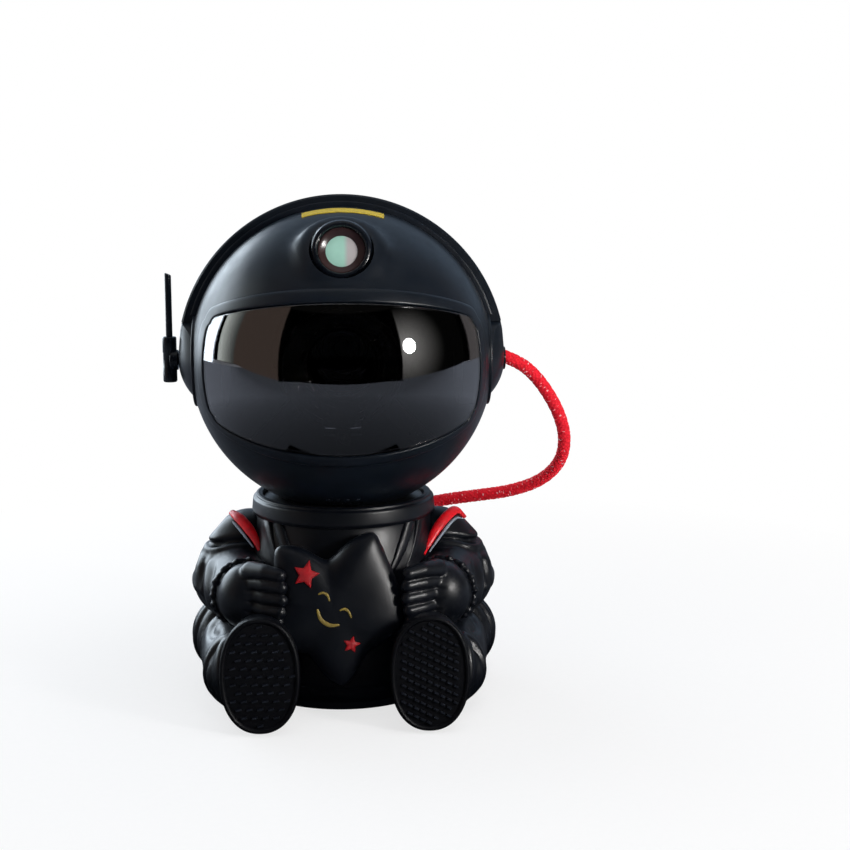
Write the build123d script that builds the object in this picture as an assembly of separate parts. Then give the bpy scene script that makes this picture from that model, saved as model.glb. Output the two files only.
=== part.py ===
from build123d import *
import math
import os

# Star projector in the shape of a seated astronaut. Millimetres, +Z up, the face looks along -Y, and the
# origin is the middle of the pad under the base. The round head holds two projectors: a nebula projector
# behind the visor and a laser star projector in the forehead. A magnet holds the head in a dish on the neck.

# ---------------------------------------------------------------- driving dimensions
BASE_R = 42.0             # base plate and the bottom edge of the suit
BASE_THICK = 3.0
PAD_R = 30.0              # anti-slip pad under the base plate
PAD_THICK = 1.5
PAD_PROUD = 0.7           # how far the pad stands below the plate
SUIT_WALL = 2.6
BELLY_R = 47.0            # widest part of the torso
NECK_R = 38.0             # torso under the collar
NECK_TOP = 77.5           # top edge of the torso wall
NECK_FLOOR = 72.5         # top of the floor inside the neck
NECK_FLOOR_THICK = 2.5
COLLAR_R = 39.7
COLLAR_HEIGHT = 10.5
COLLAR_BORE_R = 35.2

HEAD_Z = 143.5            # centre of the head, where both its turning axes cross
HEAD_R = 65.0
HEAD_WALL = 2.4
HEAD_SPLIT_Y = 5.0        # joint between the face shell and the rear shell
BAND_R = 70.0             # band over the crown, from ear to ear
BAND_WIDTH = 14.0
BAND_LEAN = 6.0           # degrees that the band leans back
EAR_DISC_R = 20.0
EAR_DISC_X = 64.0
EAR_CAP_R = 17.0
EAR_CAP_X = 70.0
EAR_SKIRT_R = 13.8        # part of the cap that passes through the disc

VISOR_SIDE = 60.0         # degrees from straight ahead to each side edge of the visor
VISOR_TOP = (11.5, -0.292)      # height and slope of the plane along the visor's top edge
VISOR_BOTTOM = (-7.0, 0.454)    # the same for its bottom edge
VISOR_CORNER = 7.0
VISOR_THICK = 2.0
VISOR_PROUD = 0.4
FRAME_SIDE = 67.0
FRAME_TOP = (15.2, -0.348)
FRAME_BOTTOM = (-8.4, 0.55)
FRAME_CORNER = 9.0
FRAME_PROUD = 0.8

VENT_ROWS = ((-57.0, 4), (-60.0, 5), (-63.0, 4))    # latitude and number of holes in the chin
VENT_PITCH = 7.0          # degrees of longitude between them
VENT_R = 0.8

HOOD_R = 14.0             # round hood of the laser projector in the forehead
HOOD_Y = -46.2
HOOD_RISE = 49.1          # hood's front face above the head's centre
HOOD_TILT = 30.0          # degrees that its beam points up
HOOD_RECESS_R = 10.2
WINDOW_R = 7.0

LENS_RISE = 2.0           # nebula projector's axis above the head's centre
BARREL_RIM_R = 23.5
BARREL_TUBE_R = 17.5
BARREL_SPIGOT_R = 14.0
FRONT_LENS_R = 14.5

GEAR_MODULE = 0.5
RIPPLE_TEETH = 80
RIPPLE_PINION_TEETH = 10
GRATING_TEETH = 36
GRATING_PINION_TEETH = 12

BUTTON_R = 4.3
BUTTON_PITCH = 11.5
BUTTON_TRAVEL = 0.6
PLATE_R = 20.0            # control plate in the back of the head
PLATE_Y = 61.5
PLATE_THICK = 2.5
BOARD_Y = 50.0

DISH_R = 34.6
STEM_R = 8.0
MAGNET_R = 12.0
MAGNET_THICK = 3.2

ARM_SHOULDER = (43.0, 0.0, 60.0)
ARM_ELBOW = (47.5, -6.0, 44.0)
ARM_WRIST = (43.0, -30.0, 45.0)
SLEEVE_R = 17.5
CUFF_R = 15.0
PALM_R = 13.0
FINGER_HEIGHTS = (58.2, 52.8, 47.4, 42.0)
FINGER_R = 3.2
STRIPE_WIDTH = 4.0        # red piping round each shoulder
STRIPE_PROUD = 1.3
STRIPE_DEPTH = 0.8        # how deep it is let into the sleeve
LEG_HIP = (48.0, 5.0, 20.3)
LEG_SHIN = (40.0, -44.0, 17.4)
HIP_R = 20.0
SHIN_R = 17.0
BOOT_X = 34.0
BOOT_HALF_WIDTH = 15.7
BOOT_HALF_HEIGHT = 23.2
BOOT_BACK_Y = -47.0
BOOT_FRONT_Y = -64.0
BOOT_LEAN = 4.0           # degrees that the sole leans back
SOLE_THICK = 5.0

STAR_CENTRE = (-4.7, -57.0, 47.5)   # middle of the plump star's front face
STAR_R = 34.0
STAR_INNER_R = 21.5
STAR_THICK = 15.0
STAR_TURN = -32.0         # degrees about the line of sight
STAR_LEAN = 7.0

PACK_HALF_WIDTH = 25.0
PACK_Y = 55.0
PACK_BOTTOM = 24.0
PACK_TOP = 76.0

ANTENNA_X = -73.8
ANTENNA_SLEEVE_R = 3.0
ANTENNA_SLEEVE_LOW = 134.0
ANTENNA_SLEEVE_HIGH = 153.5
ANTENNA_ROD_R = 1.4
ANTENNA_TOP = 181.5
ANTENNA_HUB_R = 4.3
ANTENNA_PIN_R = 2.0

HOSE_R = 2.9
HOSE_ROUTE = [
    (68.6, 0.0, 144.7), (76.2, 0.5, 141.9), (83.5, 2.2, 136.0), (90.2, 5.0, 127.3), (96.0, 9.0, 117.0),
    (99.5, 14.0, 105.5), (98.5, 20.0, 93.5), (90.5, 27.0, 83.5), (77.0, 33.5, 77.5), (61.5, 39.0, 74.5),
    (47.0, 43.2, 71.8), (35.6, 45.6, 69.0), (25.8, 46.0, 68.0),
]

RUNNING = 0.05            # radial clearance of anything that turns in a bore
FIT = 0.1                 # gap between pieces that are pushed or glued together
SEAM = 0.4                # gap round the visor
BALL_GAP = 0.3            # gap between the head and the dish that it turns in
SOFT_GAP = 0.3            # gap between the star and the hands that hold it

BOTTOM = (Align.CENTER, Align.CENTER, Align.MIN)
HEAD = Pos(0, 0, HEAD_Z)
LENS_AXIS = Pos(0, 0, HEAD_Z + LENS_RISE)
HOOD_COS = math.cos(math.radians(HOOD_TILT))
HOOD_SIN = math.sin(math.radians(HOOD_TILT))
HOOD_PLANE = Plane(origin=(0, HOOD_Y, HEAD_Z + HOOD_RISE), x_dir=(1, 0, 0), z_dir=(0, -HOOD_COS, HOOD_SIN))
FAR = 200.0               # larger than the whole object, for half spaces


# ---------------------------------------------------------------- shapes
def rod(start, end, radius):
    """Round bar between two points."""
    axis = Vector(end) - Vector(start)
    return Plane(origin=start, z_dir=axis) * Cylinder(radius, axis.length, align=BOTTOM)


def disc(radius, low, thick, y=0.0):
    """Round bar along Z, from z = low up."""
    return Pos(0, y, low) * Cylinder(radius, thick, align=BOTTOM)


def tube(start, end, outer, inner):
    """Round tube between two points."""
    return rod(start, end, outer) - rod(start, end, inner)


def block(x, y, z):
    """Box from three (low, high) pairs."""
    size = [high - low for low, high in (x, y, z)]
    middle = [(high + low) / 2 for low, high in (x, y, z)]
    return Pos(*middle) * Box(*size)


def turned_z(*corners):
    """Turned solid about Z from (radius, height) corners."""
    return revolve(Plane.XZ * make_face(Polyline(*corners, close=True)), Axis.Z)


def turned_y(*corners):
    """Turned solid about Y from (radius, y) corners."""
    return revolve(make_face(Polyline(*corners, close=True)), Axis.Y)


def ball_layer(outer, inner):
    """Hollow ball about the origin."""
    return Sphere(outer) - Sphere(inner)


def limb(start, end, start_r, end_r):
    """Tapered capsule: two balls and the cone that touches both."""
    span = Vector(*end) - Vector(*start)
    lean = math.asin((start_r - end_r) / span.length)
    low, high = (lean - math.pi / 2) / 2, (lean + math.pi / 2) / 2
    join_low = (start_r * math.cos(lean), start_r * math.sin(lean))
    join_high = (end_r * math.cos(lean), span.length + end_r * math.sin(lean))
    outline = [
        ThreePointArc((0, -start_r), (start_r * math.cos(low), start_r * math.sin(low)), join_low),
        Line(join_low, join_high),
        ThreePointArc(join_high, (end_r * math.cos(high), span.length + end_r * math.sin(high)),
                      (0, span.length + end_r)),
        Line((0, span.length + end_r), (0, -start_r)),
    ]
    solid = revolve(Plane.XZ * make_face(outline), Axis.Z)
    return Plane(origin=start, z_dir=span) * solid


def gear(teeth, thick, turn=0.0):
    """Spur gear about Z, from z = 0 up, with a tooth pointing along +X turned by `turn` degrees."""
    pitch_r = GEAR_MODULE * teeth / 2
    root_r, tip_r = pitch_r - 1.25 * GEAR_MODULE, pitch_r + GEAR_MODULE
    pitch = 360.0 / teeth
    corners = []
    for tooth in range(teeth):
        for radius, share in ((root_r, -0.30), (tip_r, -0.11), (tip_r, 0.11), (root_r, 0.30)):
            angle = math.radians(turn + pitch * (tooth + share))
            corners.append((radius * math.cos(angle), radius * math.sin(angle)))
    return extrude(make_face(Polyline(*corners, close=True)), thick)


def window_wedge(side, top, bottom, corner, grow=0.0):
    """Solid in front of the head whose walls cut the outline of the visor, in the head's own frame."""
    slope = math.tan(math.radians(side))
    sections = []
    for y in (-18.0, -80.0):
        half = slope * -y + grow / math.cos(math.radians(side))
        high = top[0] + top[1] * y + grow * math.hypot(1, top[1])
        low = bottom[0] + bottom[1] * y - grow * math.hypot(1, bottom[1])
        face = make_face(Polyline((-half, low), (half, low), (half, high), (-half, high), close=True))
        sections.append(Pos(0, y, 0) * (Plane.XZ * face))
    wedge = loft(sections, ruled=True)
    long_edges = [edge for edge in wedge.edges() if abs(edge.center().Y + 49.0) < 1.0]
    return fillet(long_edges, corner + grow)


def front_half(y):
    """Everything in front of a plane across the head."""
    return block((-FAR, FAR), (-FAR, y), (-FAR, FAR))


def mirrored(shape):
    """The same shape on the other side of the object."""
    return mirror(shape, about=Plane.YZ)


def in_head(shape):
    return HEAD * shape


# ---------------------------------------------------------------- head shells
BOSS_SPREAD = (HEAD_R - 5.2) / math.sqrt(2)
BOSSES = [(x * BOSS_SPREAD, z * BOSS_SPREAD) for x in (-1, 1) for z in (-1, 1)]
BOSS_R = 3.2
SCREW_R = 1.45
SCREW_HEAD_R = 2.8
SCREW_HEAD_Y = 12.0
INNER_R = HEAD_R - HEAD_WALL
KEEPER_R = 13.0


def face_shell():
    """Front half of the head, with the visor's opening, the hood's hole, screw bosses and chin vents."""
    opening = window_wedge(VISOR_SIDE, VISOR_TOP, VISOR_BOTTOM, VISOR_CORNER, SEAM)
    shell = ball_layer(HEAD_R, INNER_R) & front_half(HEAD_SPLIT_Y)
    for x, z in BOSSES:
        shell += rod((x, -12, z), (x, HEAD_SPLIT_Y, z), BOSS_R) & Sphere(HEAD_R - 0.5)
    for x, z in BOSSES:
        shell -= rod((x, -9, z), (x, HEAD_SPLIT_Y + 1, z), SCREW_R + RUNNING)
    hood_hole = HEAD.inverse() * (HOOD_PLANE * disc(HOOD_R + FIT, -30, 60))
    shell -= [opening, hood_hole]
    for latitude, count in VENT_ROWS:
        for hole in range(count):
            longitude = VENT_PITCH * (hole - (count - 1) / 2)
            vent = Rot(-latitude, 0, 0) * rod((0, -HEAD_R - 1, 0), (0, -55, 0), VENT_R)
            shell -= Rot(0, 0, longitude) * vent
    return in_head(shell)


def rear_shell():
    """Rear half of the head, with a lip into the face shell, screw posts, the plate's seat and vents."""
    shell = ball_layer(HEAD_R, INNER_R) - front_half(HEAD_SPLIT_Y)
    lip = ball_layer(INNER_R - FIT, INNER_R - FIT - 1.4)
    lip &= block((-FAR, FAR), (HEAD_SPLIT_Y - 2.5, HEAD_SPLIT_Y + 2.5), (-FAR, FAR))
    lip_root = block((-FAR, FAR), (HEAD_SPLIT_Y, HEAD_SPLIT_Y + 2.5), (-FAR, FAR))
    lip += ball_layer(INNER_R + 0.5, INNER_R - 1.5) & lip_root
    lip -= rod((0, 0, -HEAD_R), (0, 0, 0), KEEPER_R + FIT)
    for x, z in BOSSES:
        lip -= rod((x, 0, z), (x, HEAD_SPLIT_Y, z), BOSS_R + FIT)
    shell += lip
    for x, z in BOSSES:
        shell += rod((x, HEAD_SPLIT_Y, z), (x, 40, z), BOSS_R + 1.0) & Sphere(HEAD_R - 0.3)
    seat_y = PLATE_Y - PLATE_THICK
    shell += tube((0, seat_y - 2, 0), (0, seat_y, 0), PLATE_R + 2, PLATE_R - 1.5)
    shell -= rod((0, seat_y, 0), (0, HEAD_R + 1, 0), PLATE_R + FIT)
    for x, z in BOSSES:
        shell -= rod((x, 0, z), (x, 50, z), SCREW_R + FIT)
        shell -= rod((x, SCREW_HEAD_Y, z), (x, 50, z), SCREW_HEAD_R + FIT)
    for latitude in (-30.0, -34.0, -38.0, -42.0):
        slot = block((-9, 9), (50, HEAD_R + 2), (-0.75, 0.75))
        shell -= Rot(latitude, 0, 0) * slot
    return in_head(shell)


def head_screws():
    """Four case screws, driven in from the back."""
    screws = []
    for x, z in BOSSES:
        head = rod((x, SCREW_HEAD_Y, z), (x, SCREW_HEAD_Y + 2.0, z), SCREW_HEAD_R)
        head -= block((x - 2, x + 2), (SCREW_HEAD_Y + 1, SCREW_HEAD_Y + 3), (z - 0.4, z + 0.4))
        head -= block((x - 0.4, x + 0.4), (SCREW_HEAD_Y + 1, SCREW_HEAD_Y + 3), (z - 2, z + 2))
        screws.append(in_head(head + rod((x, -8, z), (x, SCREW_HEAD_Y, z), SCREW_R)))
    return Compound(children=screws)


def crown_band():
    """Band over the crown that ends in a disc at each ear."""
    skin = Sphere(HEAD_R + FIT)
    hoop = rod((0, -BAND_WIDTH / 2, 0), (0, BAND_WIDTH / 2, 0), BAND_R)
    rims = [edge for edge in hoop.edges() if edge.geom_type == GeomType.CIRCLE]
    hoop = fillet(rims, 1.5)
    hoop &= block((-FAR, FAR), (-FAR, FAR), (8, FAR))
    hoop = Rot(-BAND_LEAN, 0, 0) * hoop
    band = hoop
    for side in (-1, 1):
        band -= rod((side * EAR_DISC_X, 0, 0), (side * 90, 0, 0), EAR_CAP_R + FIT)
        disc = rod((side * 55, 0, 0), (side * EAR_DISC_X, 0, 0), EAR_DISC_R)
        band += disc - block((-50, 50), (-FAR, FAR), (-FAR, FAR))
    band -= skin
    for side in (-1, 1):
        band -= rod((side * 50, 0, 0), (side * 80, 0, 0), EAR_SKIRT_R + FIT)
    return in_head(band)


def ear_cap():
    """Domed cap of the ear on the +X side, before its hole is made."""
    rise, skirt_r, inner_r = EAR_CAP_X - EAR_DISC_X, EAR_SKIRT_R, HEAD_R + FIT
    dome_r = (EAR_CAP_R ** 2 + rise ** 2) / (2 * rise)
    dome_half, inner_half = math.asin(EAR_CAP_R / dome_r) / 2, math.asin(skirt_r / inner_r) / 2
    dome_middle = (EAR_CAP_X - dome_r + dome_r * math.cos(dome_half), dome_r * math.sin(dome_half))
    inner_middle = (inner_r * math.cos(inner_half), inner_r * math.sin(inner_half))
    skirt_end = (math.sqrt(inner_r ** 2 - skirt_r ** 2), skirt_r)
    outline = [
        Line((inner_r, 0), (EAR_CAP_X, 0)),
        ThreePointArc((EAR_CAP_X, 0), dome_middle, (EAR_DISC_X, EAR_CAP_R)),
        Line((EAR_DISC_X, EAR_CAP_R), (EAR_DISC_X, skirt_r)),
        Line((EAR_DISC_X, skirt_r), skirt_end),
        ThreePointArc(skirt_end, inner_middle, (inner_r, 0)),
    ]
    return revolve(make_face(outline), Axis.X)


def ear_cap_left():
    cap = mirrored(ear_cap())
    return in_head(cap - rod((-60, 0, 0), (-80, 0, 0), ANTENNA_PIN_R + RUNNING))


def socket_at(end, towards, behind, ahead, radius):
    """Bar on the line of the hose at one of its ends."""
    way = (Vector(*towards) - Vector(*end)).normalized()
    return rod(Vector(*end) - way * behind, Vector(*end) + way * ahead, radius)


def ear_cap_right():
    return in_head(ear_cap()) - socket_at(*HOSE_ROUTE[:2], 1.5, 12.0, HOSE_R + 1.6)


def hose_ferrule():
    ferrule = socket_at(*HOSE_ROUTE[:2], 1.4, 4.0, HOSE_R + 1.5)
    return ferrule - socket_at(*HOSE_ROUTE[:2], 0.0, 6.0, HOSE_R + RUNNING)


def visor_frame():
    wide = window_wedge(FRAME_SIDE, FRAME_TOP, FRAME_BOTTOM, FRAME_CORNER)
    opening = window_wedge(VISOR_SIDE, VISOR_TOP, VISOR_BOTTOM, VISOR_CORNER, SEAM)
    frame = ball_layer(HEAD_R + FRAME_PROUD, HEAD_R + 0.02) & wide
    return in_head(frame - opening)


def visor():
    outer = HEAD_R + VISOR_PROUD
    pane = window_wedge(VISOR_SIDE, VISOR_TOP, VISOR_BOTTOM, VISOR_CORNER)
    return in_head(ball_layer(outer, outer - VISOR_THICK) & pane)


def crown_label():
    """Blank strip glued just in front of the crown band."""
    strip = ball_layer(HEAD_R + 0.35, HEAD_R + 0.02)
    strip &= block((-17.5, 17.5), (-19.5, -12.5), (0, FAR))
    return in_head(strip)


def control_plate():
    """Round plate in the back of the head: three button holes, a socket opening and four board posts."""
    front = PLATE_Y - PLATE_THICK
    plate = rod((0, front, 0), (0, PLATE_Y, 0), PLATE_R)
    for x, z in ((-7.5, 14.5), (7.5, 14.5), (-13.0, -9.0), (13.0, -9.0)):
        plate += rod((x, BOARD_Y + 1.6, z), (x, front, z), 1.8)
    for column in (-1, 0, 1):
        x = column * BUTTON_PITCH
        plate -= rod((x, front - 1, 3), (x, PLATE_Y + 1, 3), BUTTON_R + RUNNING)
    plate -= block((-4.6, 4.6), (front - 1, PLATE_Y + 1), (-10.8, -7.2))
    return in_head(plate)


def button(column):
    """Push button, column -1, 0 or 1. A flange behind the plate keeps it in."""
    x, back = column * BUTTON_PITCH, PLATE_Y - PLATE_THICK
    cap = rod((x, back - 0.1, 3), (x, PLATE_Y + 1.0, 3), BUTTON_R)
    rims = cap.edges().filter_by(GeomType.CIRCLE).sort_by(Axis.Y)[-1:]
    cap = fillet(rims, 0.6)
    flange = rod((x, back - 1.5, 3), (x, back - 0.1, 3), BUTTON_R + 0.9)
    stem = rod((x, back - 2.3, 3), (x, back - 1.5, 3), 1.2)
    return in_head(cap + flange + stem)


def main_board():
    board = block((-17, 17), (BOARD_Y, BOARD_Y + 1.6), (-17, 17))
    return in_head(board)


def board_parts():
    """Key switches under the buttons, the control chips and the infrared receiver under the lens rim."""
    top = BOARD_Y + 1.6
    plunger_end = PLATE_Y - PLATE_THICK - 2.3 - BUTTON_TRAVEL - 0.1
    parts = []
    for column in (-1, 0, 1):
        x = column * BUTTON_PITCH
        switch = block((x - 3, x + 3), (top, top + 3.2), (0, 6))
        parts.append(switch + rod((x, top + 3.2, 3), (x, plunger_end, 3), 1.7))
    parts.append(block((-6, 1), (BOARD_Y - 1.6, BOARD_Y), (-5, 2)))
    parts.append(block((5, 10), (BOARD_Y - 1.4, BOARD_Y), (-4, 0)))
    parts.append(rod((-12, BOARD_Y, -11), (-12, BOARD_Y - 8, -11), 3.2))
    rim_low = LENS_RISE - BARREL_RIM_R
    receiver = block((-3, 3), (-50, -45.5), (rim_low - 7.2, rim_low - FIT))
    parts.append(receiver + Pos(0, -50, rim_low - 4.2) * Sphere(2.0))
    return Compound(children=[in_head(part) for part in parts])


def usb_socket():
    shell = block((-4.47, 4.47), (BOARD_Y + 1.6, PLATE_Y - 0.2), (-10.63, -7.37))
    long_edges = shell.edges().filter_by(Axis.Y)
    shell = fillet(long_edges, 1.5)
    mouth = block((-4.15, 4.15), (PLATE_Y - 6.2, PLATE_Y + 1), (-10.3, -7.7))
    shell -= fillet(mouth.edges().filter_by(Axis.Y), 1.2)
    shell += block((-3.3, 3.3), (PLATE_Y - 6.2, PLATE_Y - 1.2), (-9.3, -8.7))
    return in_head(shell)


def keeper_plate():
    """Steel disc in the chin that the neck magnet pulls on."""
    rim_z = -math.sqrt(INNER_R ** 2 - KEEPER_R ** 2) + FIT
    return in_head(rod((0, 0, rim_z), (0, 0, rim_z + 1.5), KEEPER_R))


# ---------------------------------------------------------------- laser star projector
WHEEL_FRONT = -15.2       # places along the laser axis, measured from the hood's front face
WHEEL_THICK = 2.6
CARRIER_FRONT = -22.0
CARRIER_THICK = 4.0
LASER_R = 6.0
NOSE_R = 3.0
GRATING_MOTOR_R = 4.0
GRATING_OFFSET = GEAR_MODULE * (GRATING_TEETH + GRATING_PINION_TEETH) / 2


def on_laser_axis(shape):
    return HOOD_PLANE * shape


def laser_hood():
    """Round hood through the forehead. Two arms behind it hold the carrier of laser and motor."""
    hood = disc(HOOD_R, -11, 11)
    hood = fillet(hood.edges().filter_by(GeomType.CIRCLE).sort_by(Axis.Z)[-1:], 2.4)
    hood -= disc(HOOD_RECESS_R, -4, 10)
    hood -= disc(WINDOW_R + 1.2, -5.5, 2)
    hood -= disc(WINDOW_R + 0.4, -12, 8)
    carrier_back = CARRIER_FRONT - CARRIER_THICK
    for side in (-1, 1):
        hood += block(sorted((side * 10.4, side * 13.0)), (-4, 4), (carrier_back, -10))
    carrier = disc(HOOD_R - 1.0, carrier_back, CARRIER_THICK)
    carrier += disc(GRATING_MOTOR_R + 2.5, carrier_back, CARRIER_THICK, GRATING_OFFSET)
    carrier -= disc(LASER_R + RUNNING, carrier_back - 1, 8)
    carrier -= disc(GRATING_MOTOR_R + RUNNING, carrier_back - 1, 8, GRATING_OFFSET)
    return on_laser_axis(hood + carrier)


def window_ring():
    ring = disc(HOOD_RECESS_R - FIT, -4, 1.2)
    ring -= disc(WINDOW_R, -5, 5)
    return on_laser_axis(ring)


def laser_window():
    return on_laser_axis(disc(WINDOW_R + 1.2 - FIT, -5.5, 1.45))


def laser_module():
    """Brass tube with the laser diode. Its nose is the bearing of the grating wheel."""
    tube_front = WHEEL_FRONT - WHEEL_THICK - 1.0
    module = disc(LASER_R, -36, 36 + tube_front)
    module += disc(NOSE_R, tube_front, WHEEL_THICK + 0.4)
    module -= disc(1.3, -30, 20)
    return on_laser_axis(module)


def grating_wheel():
    """Toothed wheel with the grating film across its front."""
    back = WHEEL_FRONT - WHEEL_THICK
    wheel = Pos(0, 0, back) * gear(GRATING_TEETH, WHEEL_THICK, turn=90.0)
    wheel -= disc(NOSE_R + RUNNING, back - 1, WHEEL_THICK + 0.4)
    return on_laser_axis(wheel)


def grating_pinion():
    """Small gear that drives the grating wheel, on its motor's shaft."""
    back = WHEEL_FRONT - WHEEL_THICK
    half_tooth = 180.0 / GRATING_PINION_TEETH
    pinion = Pos(0, GRATING_OFFSET, back) * gear(GRATING_PINION_TEETH, WHEEL_THICK, turn=-90.0 + half_tooth)
    pinion += disc(0.75, back - 6, 7, GRATING_OFFSET)
    return on_laser_axis(pinion)


def grating_motor():
    motor = disc(GRATING_MOTOR_R, -34, 34 + CARRIER_FRONT + 1.5, GRATING_OFFSET)
    motor -= disc(0.75 + RUNNING, -26, 20, GRATING_OFFSET)
    return on_laser_axis(motor)


# ---------------------------------------------------------------- nebula projector
RIM_Y = -52.0             # front edge of the barrel's rim
STEP_Y = -38.0            # back of the wide part
BARREL_BACK_Y = -14.0
SPIGOT_END_Y = -10.2
RIPPLE_FRONT_Y = -13.6
RIPPLE_BACK_Y = -8.8
RIPPLE_OFFSET = GEAR_MODULE * (RIPPLE_TEETH + RIPPLE_PINION_TEETH) / 2
MOTOR_ANGLE = 210.0
MOTOR_R = 6.0
LAMP_TUBE_R = 15.0
FRAME_PLATE_Y = (-5.0, -2.5)
LED_BOARD_Y = 8.0


def motor_place():
    angle = math.radians(MOTOR_ANGLE)
    return RIPPLE_OFFSET * math.cos(angle), RIPPLE_OFFSET * math.sin(angle)


def lens_barrel():
    barrel = turned_y(
        (21.8, RIM_Y), (BARREL_RIM_R, RIM_Y), (BARREL_RIM_R, STEP_Y), (BARREL_TUBE_R, STEP_Y),
        (BARREL_TUBE_R, BARREL_BACK_Y), (BARREL_SPIGOT_R, BARREL_BACK_Y), (BARREL_SPIGOT_R, SPIGOT_END_Y),
        (12.6, SPIGOT_END_Y), (12.6, -33.0), (FRONT_LENS_R + FIT, -33.0), (FRONT_LENS_R + FIT, -39.0),
        (16.6, -39.0), (16.6, -43.0), (19.2, -43.0), (19.2, -47.0), (21.8, -47.0),
    )
    return LENS_AXIS * barrel


def front_lens():
    edge_y, sag = -37.0, 4.0
    radius = (FRONT_LENS_R ** 2 + sag ** 2) / (2 * sag)
    lens = Pos(0, edge_y - sag + radius, 0) * Sphere(radius)
    lens &= rod((0, edge_y - sag - 1, 0), (0, -33.0, 0), FRONT_LENS_R)
    return LENS_AXIS * lens


def ripple_wheel():
    """Clear moulded wheel: a toothed rim on the barrel's spigot and a rippled face across its back."""
    rim_width = RIPPLE_BACK_Y - RIPPLE_FRONT_Y
    wheel = gear(RIPPLE_TEETH, rim_width, turn=-MOTOR_ANGLE)
    wheel -= disc(BARREL_SPIGOT_R + RUNNING, RIPPLE_BACK_Y - SPIGOT_END_Y, rim_width)
    for ring in range(1, 6):
        ripple = Torus(2.3 * ring, 0.7)
        wheel -= ripple
    return LENS_AXIS * Pos(0, RIPPLE_BACK_Y, 0) * Rot(90, 0, 0) * wheel


def ripple_pinion():
    x, z = motor_place()
    half_tooth = 180.0 / RIPPLE_PINION_TEETH
    pinion = gear(RIPPLE_PINION_TEETH, 3.6, turn=180.0 - MOTOR_ANGLE + half_tooth)
    pinion = Pos(x, -9.8, z) * Rot(90, 0, 0) * pinion
    pinion += rod((x, -9.8, z), (x, -4.0, z), 0.75)
    return LENS_AXIS * pinion


def ripple_motor():
    x, z = motor_place()
    motor = rod((x, -8.5, z), (x, 9.0, z), MOTOR_R)
    motor -= rod((x, -9.0, z), (x, -3.5, z), 0.75 + RUNNING)
    return LENS_AXIS * motor


def module_frame():
    """Inner frame: a plate across the head, four arms to the screw posts and three posts to the barrel."""
    low, high = FRAME_PLATE_Y
    rise = LENS_RISE
    frame = rod((0, low, rise), (0, high, rise), 30.0)
    for x, z in BOSSES:
        arm = Plane(origin=(0, low, 0), x_dir=(x, 0, z), z_dir=(0, 1, 0)) * Pos(BOSS_SPREAD * 0.7, 0, 0)
        frame += arm * Box(BOSS_SPREAD * 1.4, 8.0, high - low, align=BOTTOM)
        frame += rod((x, low, z), (x, high, z), 6.5)
    frame &= Sphere(INNER_R - 1.8)
    for x, z in BOSSES:
        frame -= rod((x, low - 1, z), (x, high + 1, z), BOSS_R + FIT)
    motor_x, motor_z = motor_place()
    frame -= rod((0, low - 1, rise), (0, high + 1, rise), LAMP_TUBE_R + FIT)
    frame -= rod((motor_x, low - 1, motor_z + rise), (motor_x, high + 1, motor_z + rise), MOTOR_R + RUNNING)
    post_r = GEAR_MODULE * (RIPPLE_TEETH / 2 + 1) + 1.8
    for angle in (30.0, 150.0, 270.0):
        x, z = post_r * math.cos(math.radians(angle)), post_r * math.sin(math.radians(angle))
        frame += rod((x, STEP_Y, z + rise), (x, low, z + rise), 1.5)
    return in_head(frame)


def lamp_tube():
    """Black tube round the light source, with a ledge for the condenser lens."""
    tube_body = turned_y((12.6, -7.6), (LAMP_TUBE_R, -7.6), (LAMP_TUBE_R, LED_BOARD_Y), (12.6, LED_BOARD_Y))
    ledge = turned_y((10.5, 3.0), (12.8, 3.0), (12.8, 4.0), (10.5, 4.0))
    return LENS_AXIS * (tube_body + ledge)


def condenser_lens():
    lens = Pos(0, 12.0, 0) * Sphere(18.0) & rod((0, -8, 0), (0, 2.95, 0), 12.5)
    return LENS_AXIS * lens


def led_board():
    """Round aluminium board with a red, a green, a blue and a white lamp in clear domes."""
    board = rod((0, LED_BOARD_Y, 0), (0, LED_BOARD_Y + 1.6, 0), LAMP_TUBE_R)
    for x, z in ((-3.5, -3.5), (3.5, -3.5), (-3.5, 3.5), (3.5, 3.5)):
        board += block((x - 2.5, x + 2.5), (LED_BOARD_Y - 1.0, LED_BOARD_Y), (z - 2.5, z + 2.5))
        board += (Pos(x, LED_BOARD_Y - 1.0, z) * Sphere(2.2)) & block((-9, 9), (0, LED_BOARD_Y), (-9, 9))
    return LENS_AXIS * board


def heat_sink():
    front = LED_BOARD_Y + 1.6
    sink = rod((0, front, 0), (0, front + 3, 0), LAMP_TUBE_R)
    for fin in range(-3, 4):
        x = fin * 4.0
        half = math.sqrt(LAMP_TUBE_R ** 2 - x ** 2) - 0.5
        sink += block((x - 0.7, x + 0.7), (front + 2, front + 16), (-half, half))
    return LENS_AXIS * sink


# ---------------------------------------------------------------- antenna
def antenna_base():
    """Sleeve with a hub and a pin that turns in the left ear cap."""
    base = rod((ANTENNA_X, 0, ANTENNA_SLEEVE_LOW), (ANTENNA_X, 0, ANTENNA_SLEEVE_HIGH), ANTENNA_SLEEVE_R)
    rims = base.edges().filter_by(GeomType.CIRCLE)
    base = fillet(rims, 0.8)
    hub_face = -EAR_CAP_X - 0.15
    base += rod((ANTENNA_X, 0, HEAD_Z), (hub_face, 0, HEAD_Z), ANTENNA_HUB_R)
    base += rod((hub_face, 0, HEAD_Z), (-HEAD_R - 1.0, 0, HEAD_Z), ANTENNA_PIN_R)
    base -= rod((ANTENNA_X, 0, ANTENNA_SLEEVE_HIGH - 8), (ANTENNA_X, 0, ANTENNA_SLEEVE_HIGH + 1),
                ANTENNA_ROD_R + RUNNING)
    return base


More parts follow.
